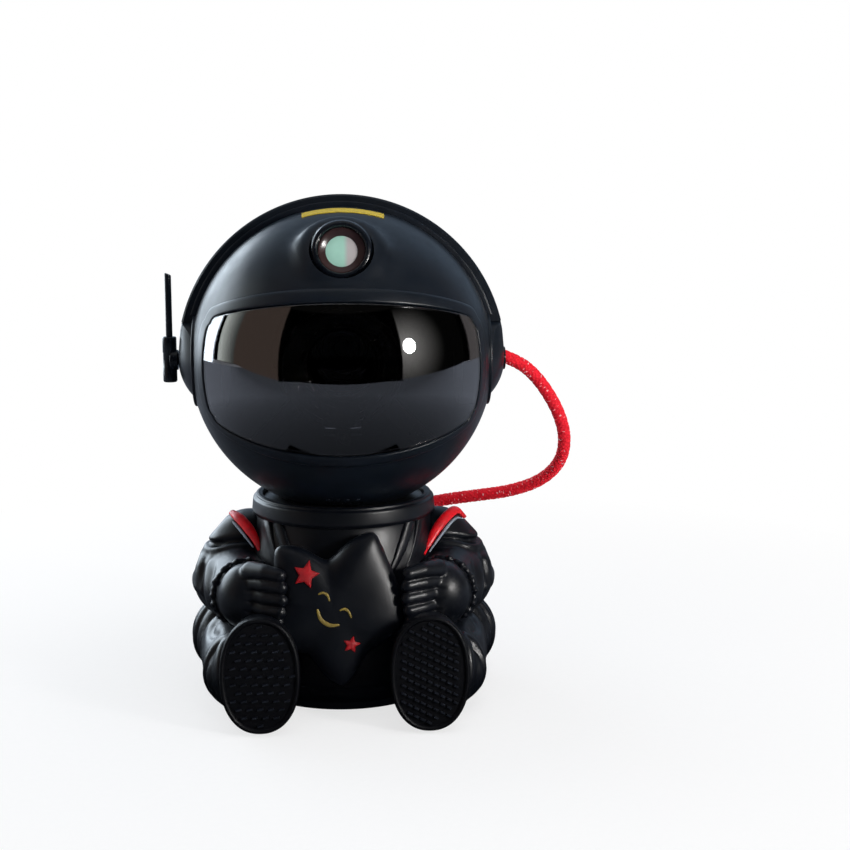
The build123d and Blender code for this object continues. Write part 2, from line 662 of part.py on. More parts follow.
def antenna_rod():
    """Slim rod with a slanted tip."""
    slim = rod((ANTENNA_X, 0, ANTENNA_SLEEVE_HIGH - 8), (ANTENNA_X, 0, ANTENNA_TOP), ANTENNA_ROD_R)
    slant = Pos(ANTENNA_X, 0, ANTENNA_TOP) * Rot(0, 40, 0) * Box(10, 10, 2.0, align=BOTTOM)
    return slim - slant


# ---------------------------------------------------------------- neck
def neck_dish():
    """Dish that the head rests in. Its stem turns in the neck."""
    floor = NECK_FLOOR + RUNNING
    rim_z = HEAD_Z - math.sqrt((HEAD_R + BALL_GAP) ** 2 - DISH_R ** 2) - 0.4
    dish = rod((0, 0, floor), (0, 0, rim_z), DISH_R)
    dish += rod((0, 0, 57.5), (0, 0, floor), STEM_R)
    dish -= HEAD * Sphere(HEAD_R + BALL_GAP)
    dish -= tube((0, 0, 58.4), (0, 0, 59.6), STEM_R + 1, STEM_R - 1.2)
    pocket_low = HEAD_Z - HEAD_R - 0.3 - MAGNET_THICK
    dish -= rod((0, 0, pocket_low), (0, 0, 100), MAGNET_R + FIT)
    return dish


def neck_magnet():
    top = HEAD_Z - HEAD_R - 0.3
    return rod((0, 0, top - MAGNET_THICK), (0, 0, top), MAGNET_R)


def stem_clip():
    """Spring clip in the stem's groove, which keeps the dish in the neck."""
    clip = tube((0, 0, 58.5), (0, 0, 59.5), STEM_R + 2.4, STEM_R - 1.1)
    return clip - block((-3, 3), (0, 20), (50, 70))


# ---------------------------------------------------------------- body
SUIT_BOTTOM = PAD_PROUD + BASE_THICK
TORSO_HEIGHTS = ((BASE_R, SUIT_BOTTOM), (BELLY_R, 18.0), (BELLY_R - 0.5, 36.0), (BELLY_R - 4.5, 58.0),
                 (NECK_R, NECK_TOP))
BASE_SCREW_PLACES = [(x, y) for x in (-26.0, 26.0) for y in (-26.0, 26.0)]
BASE_SCREW_R = 1.45


def torso(grow=0.0, top=NECK_TOP):
    """Solid torso, turned about Z. A negative grow gives the room inside the wall."""
    skin = Spline(*[(radius + grow, height) for radius, height in TORSO_HEIGHTS])
    first, last = skin @ 0, skin @ 1
    outline = [skin, Line(last, (0, NECK_TOP)), Line((0, NECK_TOP), (0, SUIT_BOTTOM)),
               Line((0, SUIT_BOTTOM), first)]
    solid = revolve(Plane.XZ * make_face(outline), Axis.Z)
    return solid & block((-FAR, FAR), (-FAR, FAR), (0, top))


def suit_solid():
    """Hollow torso with the neck floor, the stem bearing and the four screw posts."""
    suit = torso() - torso(-SUIT_WALL, NECK_FLOOR - NECK_FLOOR_THICK)
    suit -= rod((0, 0, NECK_FLOOR), (0, 0, FAR), COLLAR_BORE_R)
    suit += rod((0, 0, 60.0), (0, 0, NECK_FLOOR), STEM_R + 3.5)
    suit -= rod((0, 0, 50.0), (0, 0, NECK_FLOOR + 1), STEM_R + RUNNING)
    for x, y in BASE_SCREW_PLACES:
        post = rod((x, y, SUIT_BOTTOM), (x, y, SUIT_BOTTOM + 14), 3.4)
        web = Pos(x * 1.1, y * 1.1, SUIT_BOTTOM) * Rot(0, 0, math.degrees(math.atan2(y, x)))
        suit += post
        suit += (web * Box(8, 2, 14, align=BOTTOM)) & torso(-0.5)
        suit -= rod((x, y, SUIT_BOTTOM - 1), (x, y, SUIT_BOTTOM + 12), BASE_SCREW_R + RUNNING)
    return suit


def strap(side):
    """Shoulder strap, a raised band that runs from the collar down behind the star."""
    layer = torso(1.3) - torso(-0.5)
    outline = Polyline((25.5, 79), (31.5, 79), (19.0, 48), (13.0, 48), close=True)
    band = Plane.XZ * make_face(outline)
    band = extrude(band, 60)
    strap_solid = layer & band & block((0, FAR), (-FAR, 0), (48, NECK_TOP - 0.3))
    return strap_solid if side > 0 else mirrored(strap_solid)


def suit_front(suit):
    front = suit & front_half(0)
    return front + [strap(-1), strap(1)]


def suit_rear(suit):
    """Rear half of the torso with the backpack moulded on."""
    rear = suit - front_half(0)
    pack = block((-PACK_HALF_WIDTH, PACK_HALF_WIDTH), (30.0, PACK_Y), (PACK_BOTTOM, PACK_TOP))
    pack = fillet(pack.edges().filter_by(Axis.Z).sort_by(Axis.Y)[-2:], 6.0)
    pack = fillet(pack.faces().sort_by(Axis.Y)[-1].edges(), 3.0)
    pack -= torso(-0.5)
    pack -= block((-FAR, FAR), (-FAR, 20), (-FAR, FAR))
    return rear + pack


def collar_ring():
    """Ring round the neck: a broad band with a thinner lip on top."""
    low, high = NECK_TOP, NECK_TOP + COLLAR_HEIGHT
    ring = turned_z(
        (COLLAR_BORE_R, low), (COLLAR_R - 1.0, low), (COLLAR_R, low + 1.0), (COLLAR_R, low + 6.2),
        (COLLAR_R - 0.8, low + 7.0), (COLLAR_R - 1.8, low + 7.0), (COLLAR_R - 1.8, low + 7.5),
        (COLLAR_R - 1.2, low + 8.0), (COLLAR_R - 1.2, high - 0.8), (COLLAR_R - 2.0, high),
        (COLLAR_BORE_R, high),
    )
    return ring


def star_plane():
    return Plane(origin=STAR_CENTRE, x_dir=(1, 0, 0), z_dir=(0, -1, 0)).rotated((STAR_LEAN, 0, 0))


def star_outline(outer, inner, turn):
    corners = []
    for point in range(10):
        radius = outer if point % 2 == 0 else inner
        angle = math.radians(90 + turn - 36 * point)
        corners.append((radius * math.cos(angle), radius * math.sin(angle)))
    return make_face(Polyline(*corners, close=True))


def star_solid(grow=0.0):
    """Plump five-lobed star held in front of the belly."""
    face = star_outline(STAR_R + 1.6 * grow, STAR_INNER_R + grow, STAR_TURN)
    body = extrude(Pos(0, 0, -STAR_THICK - grow) * face, STAR_THICK + 2 * grow)
    uprights = body.edges().filter_by(Axis.Z)
    body = fillet(uprights, 5.5)
    front = body.faces().sort_by(Axis.Z)[-1]
    body = fillet(front.edges(), 4.0)
    return star_plane() * body


def star():
    return star_solid() - torso(FIT) - [strap(1), strap(-1), boot(1), boot(-1), shin(1), shin(-1)]


def star_badges():
    """Two small red stars on the big one."""
    small = []
    for x, z, outer, turn in ((-10.3, 13.6, 5.6, -12.0), (7.1, -15.0, 3.9, 10.0)):
        badge = extrude(star_outline(outer, outer * 0.46, turn), 0.6)
        small.append(star_plane() * Pos(x, z, 0) * badge)
    return Compound(children=small)


def arc_band(x, z, radius, width, start, sweep):
    """Flat curved stroke on the star's front."""
    outer = CenterArc((0, 0), radius + width / 2, start, sweep)
    inner = CenterArc((0, 0), radius - width / 2, start, sweep)
    ends = [Line(outer @ 0, inner @ 0), Line(outer @ 1, inner @ 1)]
    return star_plane() * Pos(x, z, 0) * extrude(make_face([outer, inner, *ends]), 0.6)


def star_face():
    """Sleeping eyes and a smile."""
    strokes = [
        arc_band(-3.4, 2.2, 2.6, 1.0, 0, 130),
        arc_band(5.6, -3.0, 2.6, 1.0, 0, 130),
        arc_band(-0.4, -0.6, 6.4, 1.5, 190, 110),
    ]
    return Compound(children=strokes)


def sided(point, side):
    return (point[0] * side, point[1], point[2])


def shin(side, grow=0.0):
    return limb(sided(LEG_HIP, side), sided(LEG_SHIN, side), HIP_R + grow, SHIN_R + grow)


def boot(side, grow=0.0):
    """Boot: an upright oval that leans back a little."""
    width, height = BOOT_HALF_WIDTH + grow, BOOT_HALF_HEIGHT + grow
    upright = extrude(Plane.XZ * Ellipse(width, height), BOOT_BACK_Y - BOOT_FRONT_Y + 2 * grow)
    middle = (side * BOOT_X, BOOT_BACK_Y + grow, BOOT_HALF_HEIGHT + 0.9)
    return Pos(*middle) * Rot(-BOOT_LEAN, 0, 0) * upright


def leg(side):
    solid = shin(side) + boot(side)
    solid -= torso(FIT)
    solid -= rod((0, 0, 0), (0, 0, SUIT_BOTTOM), BASE_R + FIT)
    return solid & block((-FAR, FAR), (-FAR, FAR), (0.3, FAR))


def soles():
    """Both soles, with a grooved tread."""
    pair = []
    for side in (-1, 1):
        plate = extrude(Plane.XZ * Ellipse(BOOT_HALF_WIDTH + 0.4, BOOT_HALF_HEIGHT + 0.4), SOLE_THICK)
        front_rim = plate.edges().sort_by(Axis.Y)[:1]
        plate = fillet(front_rim, 1.2)
        for row in range(-5, 6):
            z = row * 3.7
            half = (BOOT_HALF_WIDTH - 2.5) * math.sqrt(max(0.05, 1 - (z / (BOOT_HALF_HEIGHT - 2)) ** 2))
            plate -= block((-half, half), (-SOLE_THICK - 1, -SOLE_THICK + 0.6), (z - 0.9, z + 0.9))
        length = BOOT_BACK_Y - BOOT_FRONT_Y
        middle = (side * BOOT_X, BOOT_BACK_Y, BOOT_HALF_HEIGHT + 0.9)
        plate = Pos(*middle) * Rot(-BOOT_LEAN, 0, 0) * Pos(0, -length - 0.02, 0) * plate
        pair.append(plate & block((-FAR, FAR), (-FAR, FAR), (0.3, FAR)))
    return Compound(children=pair)


def arm(side):
    """Puffed sleeve, gloved hand and four fingers round the edge of the star."""
    solid = limb(sided(ARM_SHOULDER, side), sided(ARM_ELBOW, side), SLEEVE_R, SLEEVE_R - 0.2)
    solid -= stripe_ring(side)
    solid += limb(sided(ARM_ELBOW, side), sided(ARM_WRIST, side), SLEEVE_R - 0.4, CUFF_R)
    solid += limb(sided((37.0, -36.0, 36.5), side), sided((37.0, -36.0, 50.0), side), PALM_R + 0.3, PALM_R)
    for height in FINGER_HEIGHTS:
        knuckle, tip = sided((34.0, -50.0, height), side), sided((21.0, -57.5, height + 0.5), side)
        solid += limb(knuckle, tip, FINGER_R, FINGER_R - 0.6)
    solid -= torso(FIT)
    solid -= star_solid(SOFT_GAP)
    solid -= shin(side, FIT)
    solid -= boot(side, FIT)
    return solid.solids().sort_by(SortBy.VOLUME)[-1]


def stripe_ring(side):
    """Part of a ring round one shoulder."""
    half = Vector(side * 0.822, 0.55, 0.145).normalized() * (STRIPE_WIDTH / 2)
    ring = tube(-half, half, SLEEVE_R + STRIPE_PROUD, SLEEVE_R - STRIPE_DEPTH)
    return Pos(*sided(ARM_SHOULDER, side)) * (ring & block((-FAR, FAR), (-FAR, SLEEVE_R - 3.5), (1, FAR)))


def shoulder_stripe(side):
    """Red piping let into the sleeve at one shoulder."""
    stripe = stripe_ring(side) - torso(FIT)
    stripe -= rod((0, 0, NECK_TOP - 1), (0, 0, NECK_TOP + COLLAR_HEIGHT + 2), COLLAR_R + FIT)
    return stripe.solids().sort_by(SortBy.VOLUME)[-1]


def base_plate():
    plate = rod((0, 0, PAD_PROUD), (0, 0, SUIT_BOTTOM), BASE_R)
    lip_r = BASE_R - SUIT_WALL - FIT
    plate += tube((0, 0, SUIT_BOTTOM), (0, 0, SUIT_BOTTOM + 2.0), lip_r - 0.3, lip_r - 2.0)
    plate -= rod((0, 0, 0), (0, 0, PAD_THICK), PAD_R + FIT)
    for x, y in BASE_SCREW_PLACES:
        plate -= rod((x, y, 0), (x, y, SUIT_BOTTOM + 3), BASE_SCREW_R + FIT)
        plate -= rod((x, y, 0), (x, y, PAD_PROUD + 1.5), SCREW_HEAD_R + FIT)
        plate -= Pos(x * 1.1, y * 1.1, SUIT_BOTTOM) * Cylinder(5.5, 5, align=BOTTOM)
    return plate


def base_pad():
    """Soft pad that the projector stands on."""
    return rod((0, 0, 0), (0, 0, PAD_THICK), PAD_R)


def base_screws():
    screws = []
    for x, y in BASE_SCREW_PLACES:
        low = PAD_PROUD + 0.1
        head = rod((x, y, low), (x, y, PAD_PROUD + 1.5), SCREW_HEAD_R)
        head -= block((x - 2, x + 2), (y - 0.4, y + 0.4), (0, low + 0.7))
        head -= block((x - 0.4, x + 0.4), (y - 2, y + 2), (0, low + 0.7))
        screws.append(head + rod((x, y, PAD_PROUD + 1.5), (x, y, SUIT_BOTTOM + 10), BASE_SCREW_R))
    return Compound(children=screws)


def ballast():
    """Steel weight glued to the base plate, so that the heavy head can't tip the body."""
    disc = rod((0, 0, SUIT_BOTTOM), (0, 0, SUIT_BOTTOM + 8), 24.0)
    return disc - rod((0, 0, 0), (0, 0, 30), 3.0)


# ---------------------------------------------------------------- hose
def hose_gland():
    end, before = HOSE_ROUTE[-1], HOSE_ROUTE[-2]
    gland = socket_at(end, before, 3.0, 5.0, HOSE_R + 1.5)
    gland -= socket_at(end, before, 0.0, 7.0, HOSE_R + RUNNING)
    return gland & block((PACK_HALF_WIDTH, FAR), (-FAR, FAR), (-FAR, FAR))


def bend_radii():
    """Largest radius that each corner of the route has room for."""
    points = [Vector(*point) for point in HOSE_ROUTE]
    radii = []
    for before, corner, after in zip(points, points[1:], points[2:]):
        run_in, run_out = corner - before, after - corner
        half_turn = math.radians(run_in.get_angle(run_out)) / 2
        radii.append(0.45 * min(run_in.length, run_out.length) / math.tan(half_turn))
    return radii


def hose():
    radii = bend_radii()
    print("hose radii", [round(radius, 1) for radius in radii])
    path = FilletPolyline(*HOSE_ROUTE, radius=radii)
    start = Plane(origin=path @ 0, z_dir=path % 0)
    solid = sweep(start * Circle(HOSE_R), path=path)
    print("hose length", round(path.length, 1), "volume share",
          round(solid.volume / (math.pi * HOSE_R ** 2 * path.length), 4))
    return solid


def main():
    suit = suit_solid()
    nodes = {
        "base_pad": base_pad(),
        "base_plate": base_plate(),
        "base_screws": base_screws(),
        "ballast": ballast(),
        "suit_front": suit_front(suit),
        "suit_rear": suit_rear(suit),
        "collar_ring": collar_ring(),
        "left_arm": arm(-1),
        "right_arm": arm(1),
        "shoulder_stripes": Compound(children=[shoulder_stripe(-1), shoulder_stripe(1)]),
        "left_leg": leg(-1),
        "right_leg": leg(1),
        "soles": soles(),
        "star": star(),
        "star_face": star_face(),
        "star_badges": star_badges(),
        "hose_gland": hose_gland(),
        "hose": hose(),
        "neck_dish": neck_dish(),
        "neck_magnet": neck_magnet(),
        "stem_clip": stem_clip(),
        "face_shell": face_shell(),
        "rear_shell": rear_shell(),
        "head_screws": head_screws(),
        "crown_band": crown_band(),
        "ear_cap_left": ear_cap_left(),
        "ear_cap_right": ear_cap_right(),
        "hose_ferrule": hose_ferrule(),
        "visor_frame": visor_frame(),
        "visor": visor(),
        "crown_label": crown_label(),
        "control_plate": control_plate(),
        "power_button": button(-1),
        "nebula_button": button(0),
        "laser_button": button(1),
        "main_board": main_board(),
        "board_parts": board_parts(),
        "usb_socket": usb_socket(),
        "keeper_plate": keeper_plate(),
        "laser_hood": laser_hood(),
        "window_ring": window_ring(),
        "laser_window": laser_window(),
        "laser_module": laser_module(),
        "grating_wheel": grating_wheel(),
        "grating_pinion": grating_pinion(),
        "grating_motor": grating_motor(),
        "lens_barrel": lens_barrel(),
        "front_lens": front_lens(),
        "ripple_wheel": ripple_wheel(),
        "ripple_pinion": ripple_pinion(),
        "ripple_motor": ripple_motor(),
        "module_frame": module_frame(),
        "lamp_tube": lamp_tube(),
        "condenser_lens": condenser_lens(),
        "led_board": led_board(),
        "heat_sink": heat_sink(),
        "antenna_base": antenna_base(),
        "antenna_rod": antenna_rod(),
    }
    os.makedirs("parts", exist_ok=True)
    for name, solid in nodes.items():
        export_step(solid, f"parts/{name}.step")
    print(len(nodes), "nodes")


main()
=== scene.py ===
import math

import bpy
import numpy as np
from mathutils import Matrix, Vector, noise


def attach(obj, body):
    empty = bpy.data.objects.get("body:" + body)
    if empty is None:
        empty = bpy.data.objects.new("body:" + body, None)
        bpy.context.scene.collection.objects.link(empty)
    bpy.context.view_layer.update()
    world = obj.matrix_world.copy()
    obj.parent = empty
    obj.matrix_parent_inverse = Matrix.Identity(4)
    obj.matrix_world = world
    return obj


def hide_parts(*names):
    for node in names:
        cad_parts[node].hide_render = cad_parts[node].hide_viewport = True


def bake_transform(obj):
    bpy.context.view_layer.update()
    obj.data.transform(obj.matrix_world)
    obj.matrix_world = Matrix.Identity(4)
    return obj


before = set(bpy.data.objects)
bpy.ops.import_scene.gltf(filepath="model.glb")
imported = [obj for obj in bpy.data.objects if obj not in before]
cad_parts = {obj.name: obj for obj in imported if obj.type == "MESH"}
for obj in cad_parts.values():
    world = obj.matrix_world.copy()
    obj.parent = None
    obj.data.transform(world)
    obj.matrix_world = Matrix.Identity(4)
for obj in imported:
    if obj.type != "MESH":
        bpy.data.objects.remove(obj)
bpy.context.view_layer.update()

# Star projector in the shape of a seated astronaut. The pieces below are given in millimetres in the frame of
# the CAD model (the face looks along -Y, +Z is up) and are made in metres.
MM = 0.001
LEFT, RIGHT = -1, 1       # as seen from the front

HEAD_Z = 143.5            # height of the centre of the head
HEAD_CENTRE = Vector((0.0, 0.0, HEAD_Z))
HEAD_R = 65.0
HEAD_WALL = 2.4
SPLIT_Y = 5.0             # joint between the face shell and the rear shell
VISOR_R = 65.4
VISOR_THICK = 2.0
FRAME_R = 65.8            # raised surround of the visor
SEAM = 0.4                # gap round the visor
VISOR_WINDOW = (60.0, (11.5, 0.292), (-7.0, -0.454), 7.0)   # side angle, top and bottom edge lines, corner
FRAME_WINDOW = (67.0, (15.2, 0.348), (-8.4, -0.55), 10.0)
WINDOW_HALF = (46.0, 24.0)     # half width and height that a window's corner is measured by

HOOD_PLACE = (0.0, -46.2, HEAD_Z + 49.1)   # middle of the front of the laser projector's hood
HOOD_LEAN = math.radians(18.0)             # how far it leans back
HOOD_AXIS = Vector((0.0, -math.cos(HOOD_LEAN), math.sin(HOOD_LEAN)))
SWELL_LEAN = math.radians(30.0)            # lean of the swell that it comes out of
BAND_R = 70.0             # outside of the band over the crown
BAND_LEAN = math.radians(6.0)
EAR_X = 64.0              # face of the discs that the band ends in
ANTENNA_X = -73.8

HOSE_R = 2.9
HOSE_ROUTE = [
    (68.6, 0.0, 144.7), (76.2, 0.5, 141.9), (83.5, 2.2, 136.0), (90.2, 5.0, 127.3), (96.0, 9.0, 117.0),
    (99.5, 14.0, 105.5), (98.5, 20.0, 93.5), (90.5, 27.0, 83.5), (77.0, 33.5, 77.5), (61.5, 39.0, 74.5),
    (47.0, 43.2, 71.8), (35.6, 45.6, 69.0), (25.8, 46.0, 68.0),
]

STAR_PLACE = (-4.7, -57.0, 47.5)
STAR_LEAN = 7.0
SOLE_LEAN = 4.0
SOLE_X = 34.0
SOLE_Z = 24.1


# ---------------------------------------------------------------- camera
CAMERA_PLACE = Vector((0.0, -0.6401, 0.2179))      # in metres, as is its aim
CAMERA_AIM = Vector((0.03575, 0.0016, 0.1140))
CAMERA_LENS = 63.14


def set_camera():
    """Looks at the piece from in front and a little above."""
    data = bpy.data.cameras.new("camera")
    data.sensor_width = 36.0
    data.lens = CAMERA_LENS
    camera = bpy.data.objects.new("camera", data)
    bpy.context.scene.collection.objects.link(camera)
    camera.location = CAMERA_PLACE
    camera.rotation_euler = (CAMERA_AIM - CAMERA_PLACE).to_track_quat("-Z", "Y").to_euler()
    bpy.context.scene.camera = camera


# ---------------------------------------------------------------- mesh tools
def point(place):
    """Place in metres."""
    return Vector(place) * MM


def pick(obj):
    """Leaves obj alone selected and active."""
    bpy.ops.object.select_all(action="DESELECT")
    obj.select_set(True)
    bpy.context.view_layer.objects.active = obj
    return obj


def settle(obj):
    """Puts the object's place and size into its mesh."""
    pick(obj)
    bpy.ops.object.transform_apply(location=True, rotation=True, scale=True)
    return obj


def outwards(obj, fill=False):
    """Turns the faces of a skin outwards, once its open ends are filled where fill is set."""
    pick(obj)
    bpy.ops.object.mode_set(mode="EDIT")
    bpy.ops.mesh.select_all(action="SELECT")
    if fill:
        bpy.ops.mesh.fill_holes(sides=0)
    bpy.ops.mesh.normals_make_consistent(inside=False)
    bpy.ops.object.mode_set(mode="OBJECT")
    return obj


def made_from(corners, faces, name="piece", edges=()):
    """Object from corners in millimetres."""
    mesh = bpy.data.meshes.new(name)
    mesh.from_pydata([point(corner) for corner in corners], edges, faces)
    mesh.update()
    obj = bpy.data.objects.new(name, mesh)
    bpy.context.scene.collection.objects.link(obj)
    return obj


def modify(obj, kind, **settings):
    """Adds a modifier and applies it."""
    modifier = obj.modifiers.new(kind.lower(), kind)
    for name, value in settings.items():
        setattr(modifier, name, value)
    pick(obj)
    bpy.ops.object.modifier_apply(modifier=modifier.name)
    return obj


def combine(obj, other, how):
    """Boolean of two objects, which uses the second one up."""
    modify(obj, "BOOLEAN", object=other, operation=how, solver="EXACT")
    bpy.data.objects.remove(other)
    return obj


def joined(parts):
    """Makes the parts one object."""
    bpy.ops.object.select_all(action="DESELECT")
    for part in parts:
        part.select_set(True)
    bpy.context.view_layer.objects.active = parts[0]
    bpy.ops.object.join()
    return parts[0]


def fused(parts, voxel, smoothing=6):
    """One skin over all the parts, with soft inner corners."""
    body = joined(parts)
    modify(body, "REMESH", mode="VOXEL", voxel_size=voxel * MM)
    return modify(body, "SMOOTH", factor=0.5, iterations=smoothing)


def ball(place, radius, stretch=(1, 1, 1)):
    """Ball, stretched along the three axes."""
    bpy.ops.object.select_all(action="DESELECT")
    bpy.ops.mesh.primitive_uv_sphere_add(segments=48, ring_count=24, radius=radius * MM, location=point(place),
                                         scale=stretch)
    return settle(bpy.context.object)


def limb(start, end, start_r, end_r):
    """Ball drawn out to a tapered capsule between two places."""
    bpy.ops.object.select_all(action="DESELECT")
    bpy.ops.mesh.primitive_uv_sphere_add(segments=48, ring_count=24, radius=1.0)
    obj = bpy.context.object
    span = point(end) - point(start)
    for vertex in obj.data.vertices:
        far = vertex.co.z > 0.001
        vertex.co *= (end_r if far else start_r) * MM
        vertex.co.z += span.length if far else 0.0
    obj.rotation_mode = "QUATERNION"
    obj.rotation_quaternion = span.to_track_quat("Z", "Y")
    obj.location = point(start)
    return settle(obj)


def soft(corners, steps=4):
    """Outline with its corners rounded. Each corner is (across, along, rounding)."""
    outline = []
    for number, (across, along, rounding) in enumerate(corners):
        here = Vector((across, along))
        if rounding == 0 or number in (0, len(corners) - 1):
            outline.append(here)
            continue
        before = (Vector(corners[number - 1][:2]) - here).normalized()
        after = (Vector(corners[number + 1][:2]) - here).normalized()
        reach = rounding / math.tan(before.angle(after) / 2)
        for step in range(steps + 1):
            share = step / steps
            outline.append(here + before * reach * (1 - share) ** 2 + after * reach * share ** 2)
    return outline


def turned(corners, place=(0, 0, 0), axis=(0, 0, 1), steps=96):
    """Turned solid: (radius, height, rounding) corners spun round an axis through place."""
    toward = Vector(axis).normalized()
    across = toward.orthogonal().normalized()
    outline = [across * radius + toward * height for radius, height in soft(corners)]
    obj = made_from([Vector(place) + spot for spot in outline], [],
                    edges=[(number, number + 1) for number in range(len(outline) - 1)])
    pick(obj)
    bpy.ops.object.mode_set(mode="EDIT")
    bpy.ops.mesh.select_all(action="SELECT")
    bpy.ops.mesh.spin(steps=steps, angle=2 * math.pi, center=point(place), axis=toward)
    bpy.ops.mesh.select_all(action="SELECT")
    bpy.ops.mesh.remove_doubles(threshold=0.02 * MM)
    bpy.ops.mesh.normals_make_consistent(inside=False)
    bpy.ops.object.mode_set(mode="OBJECT")
    return obj


def cut_flat(obj, place, normal):
    """Takes away what lies on the side that normal points to, and closes the cut."""
    pick(obj)
    bpy.ops.object.mode_set(mode="EDIT")
    bpy.ops.mesh.select_all(action="SELECT")
    bpy.ops.mesh.bisect(plane_co=point(place), plane_no=normal, use_fill=True, clear_outer=True)
    bpy.ops.object.mode_set(mode="OBJECT")
    return obj


def bridged(loops, closed=False):
    """Skin over a row of loops, each with the same number of corners. Closed joins the last to the first."""
    count = len(loops[0])
    corners = [corner for loop in loops for corner in loop]
    faces = []
    rows = len(loops) if closed else len(loops) - 1
    for row in range(rows):
        low, high = row * count, (row + 1) % len(loops) * count
        for number in range(count):
            after = (number + 1) % count
            faces.append((low + number, low + after, high + after, high + number))
    return outwards(made_from(corners, faces))


def coordinates(obj):
    """Corners and their normals, in millimetres."""
    count = len(obj.data.vertices)
    places, normals = np.empty(count * 3), np.empty(count * 3)
    obj.data.vertices.foreach_get("co", places)
    obj.data.vertices.foreach_get("normal", normals)
    return places.reshape(-1, 3) / MM, normals.reshape(-1, 3)


def put_back(obj, places):
    """Moves the corners to new places, in millimetres."""
    obj.data.vertices.foreach_set("co", (places * MM).ravel())
    obj.data.update()


VIEWS = {   # name: the two coordinates that are seen, and the direction towards the eye
    "front": ((0, 2), (0, -1, 0)), "back": ((0, 2), (0, 1, 0)),
    "right": ((1, 2), (1, 0, 0)), "left": ((1, 2), (-1, 0, 0)),
}


def smooth_route(route, steps=8):
    """More places along a rounded line through the given ones."""
    ends = [route[0], *route, route[-1]]
    line = []
    for before, start, end, after in zip(ends, ends[1:], ends[2:], ends[3:]):
        before, start, end, after = (np.array(spot, float) for spot in (before, start, end, after))
        for step in range(steps):
            t = step / steps
            square = (2 * before - 5 * start + 4 * end - after) * t * t
            cube = (3 * start - before - 3 * end + after) * t ** 3
            line.append(0.5 * (2 * start + (end - before) * t + square + cube))
    return np.array([*line, route[-1]], float)


def sculpt(obj, view, strokes):
    """Soft strokes drawn on the skin as seen from one side. Each is (route, half width, height), where a
    negative height presses in. A stroke fades out at its ends."""
    (first, second), toward = VIEWS[view]
    places, normals = coordinates(obj)
    seen = places[:, (first, second)]
    facing = np.clip((normals @ np.array(toward) - 0.02) * 5, 0, 1)
    move = np.zeros(len(places))
    for route, half_width, height in strokes:
        line = smooth_route(route)
        starts, runs = line[:-1], np.diff(line, axis=0)
        lengths = np.maximum(np.hypot(*runs.T), 1e-6)
        before = np.concatenate([[0], np.cumsum(lengths)])
        near = ((seen > line.min(0) - 4 * half_width) & (seen < line.max(0) + 4 * half_width)).all(1)
        spots = seen[near]
        best, along = np.full(len(spots), 1e9), np.zeros(len(spots))
        for start, run, length, passed in zip(starts, runs, lengths, before):
            share = np.clip((spots - start) @ run / length ** 2, 0, 1)
            distance = np.hypot(*(spots - start - share[:, None] * run).T)
            closer = distance < best
            best = np.where(closer, distance, best)
            along = np.where(closer, passed + share * length, along)
        total = before[-1]
        fade = np.clip(np.minimum(along, total - along) / (0.22 * total) + 0.25, 0, 1)
        move[near] += height * np.exp(-(best / half_width) ** 2) * fade
    put_back(obj, places + normals * (move * facing)[:, None])
    return obj


def crumple(obj, size, height, seed):
    """Small uneven swellings all over a soft skin."""
    places, normals = coordinates(obj)
    shift = Vector((seed, 2.3 * seed, -seed))
    move = [height * noise.noise(Vector(place) / size + shift) for place in places]
    put_back(obj, places + normals * np.array(move)[:, None])
    return obj


def smooth(obj, angle=None):
    """Shades smoothly, apart from edges sharper than the angle in degrees."""
    pick(obj)
    if angle is None:
        bpy.ops.object.shade_smooth()
    else:
        bpy.ops.object.shade_smooth_by_angle(angle=math.radians(angle))
    return obj


def finished(obj, name, body, material, replaces=()):
    """Names a piece, gives it its finish, and lets it ride on its body, if it has just one."""
    obj.name = name
    obj.data.materials.clear()
    obj.data.materials.append(material)
    if body:
        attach(obj, body)
    if replaces:
        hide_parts(*replaces)
    return obj


# ---------------------------------------------------------------- material tools
def linear(hex_colour):
    """Linear RGBA of an sRGB hex colour."""
    values = [int(hex_colour[start:start + 2], 16) / 255 for start in (1, 3, 5)]
    return (*(v / 12.92 if v <= 0.04045 else ((v + 0.055) / 1.055) ** 2.4 for v in values), 1.0)


def node(tree, kind, inputs, **settings):
    """Adds one node. inputs holds values, or outputs of other nodes."""
    made = tree.nodes.new("ShaderNode" + kind)
    for name, value in settings.items():
        setattr(made, name, value)
    for socket, value in inputs.items():
        if isinstance(value, bpy.types.NodeSocket):
            tree.links.new(value, made.inputs[socket])
        else:
            made.inputs[socket].default_value = value
    return made


def blank(name):
    """New material: its tree, its shader, and the piece's own coordinates."""
    material = bpy.data.materials.new(name)
    material.use_nodes = True
    tree = material.node_tree
    return material, tree, tree.nodes["Principled BSDF"], node(tree, "TexCoord", {}).outputs["Object"]


def per_mm(size):
    """Scale of a noise whose features are size millimetres across."""
    return 1.0 / (size * MM)


def blended(tree, value, start, end, first, second, most=1.0):
    """Colour that goes from first to second, or most of the way there, as value goes from start to end."""
    share = node(tree, "MapRange", {"Value": value, "From Min": start, "From Max": end,
                                    "To Min": 0.0, "To Max": most})
    # a Mix node set to colours has its share in socket 0, its colours in 6 and 7, and its result in 2
    mixed = node(tree, "Mix", {0: share.outputs[0], 6: first, 7: second}, data_type="RGBA")
    return mixed.outputs[2]


def mottled(tree, place, size, detail, first, second, start=0.3, end=0.7):
    """Colour that drifts between two hex colours over patches of size millimetres."""
    patches = node(tree, "TexNoise", {"Vector": place, "Scale": per_mm(size), "Detail": detail})
    return blended(tree, patches.outputs[0], start, end, linear(first), linear(second))


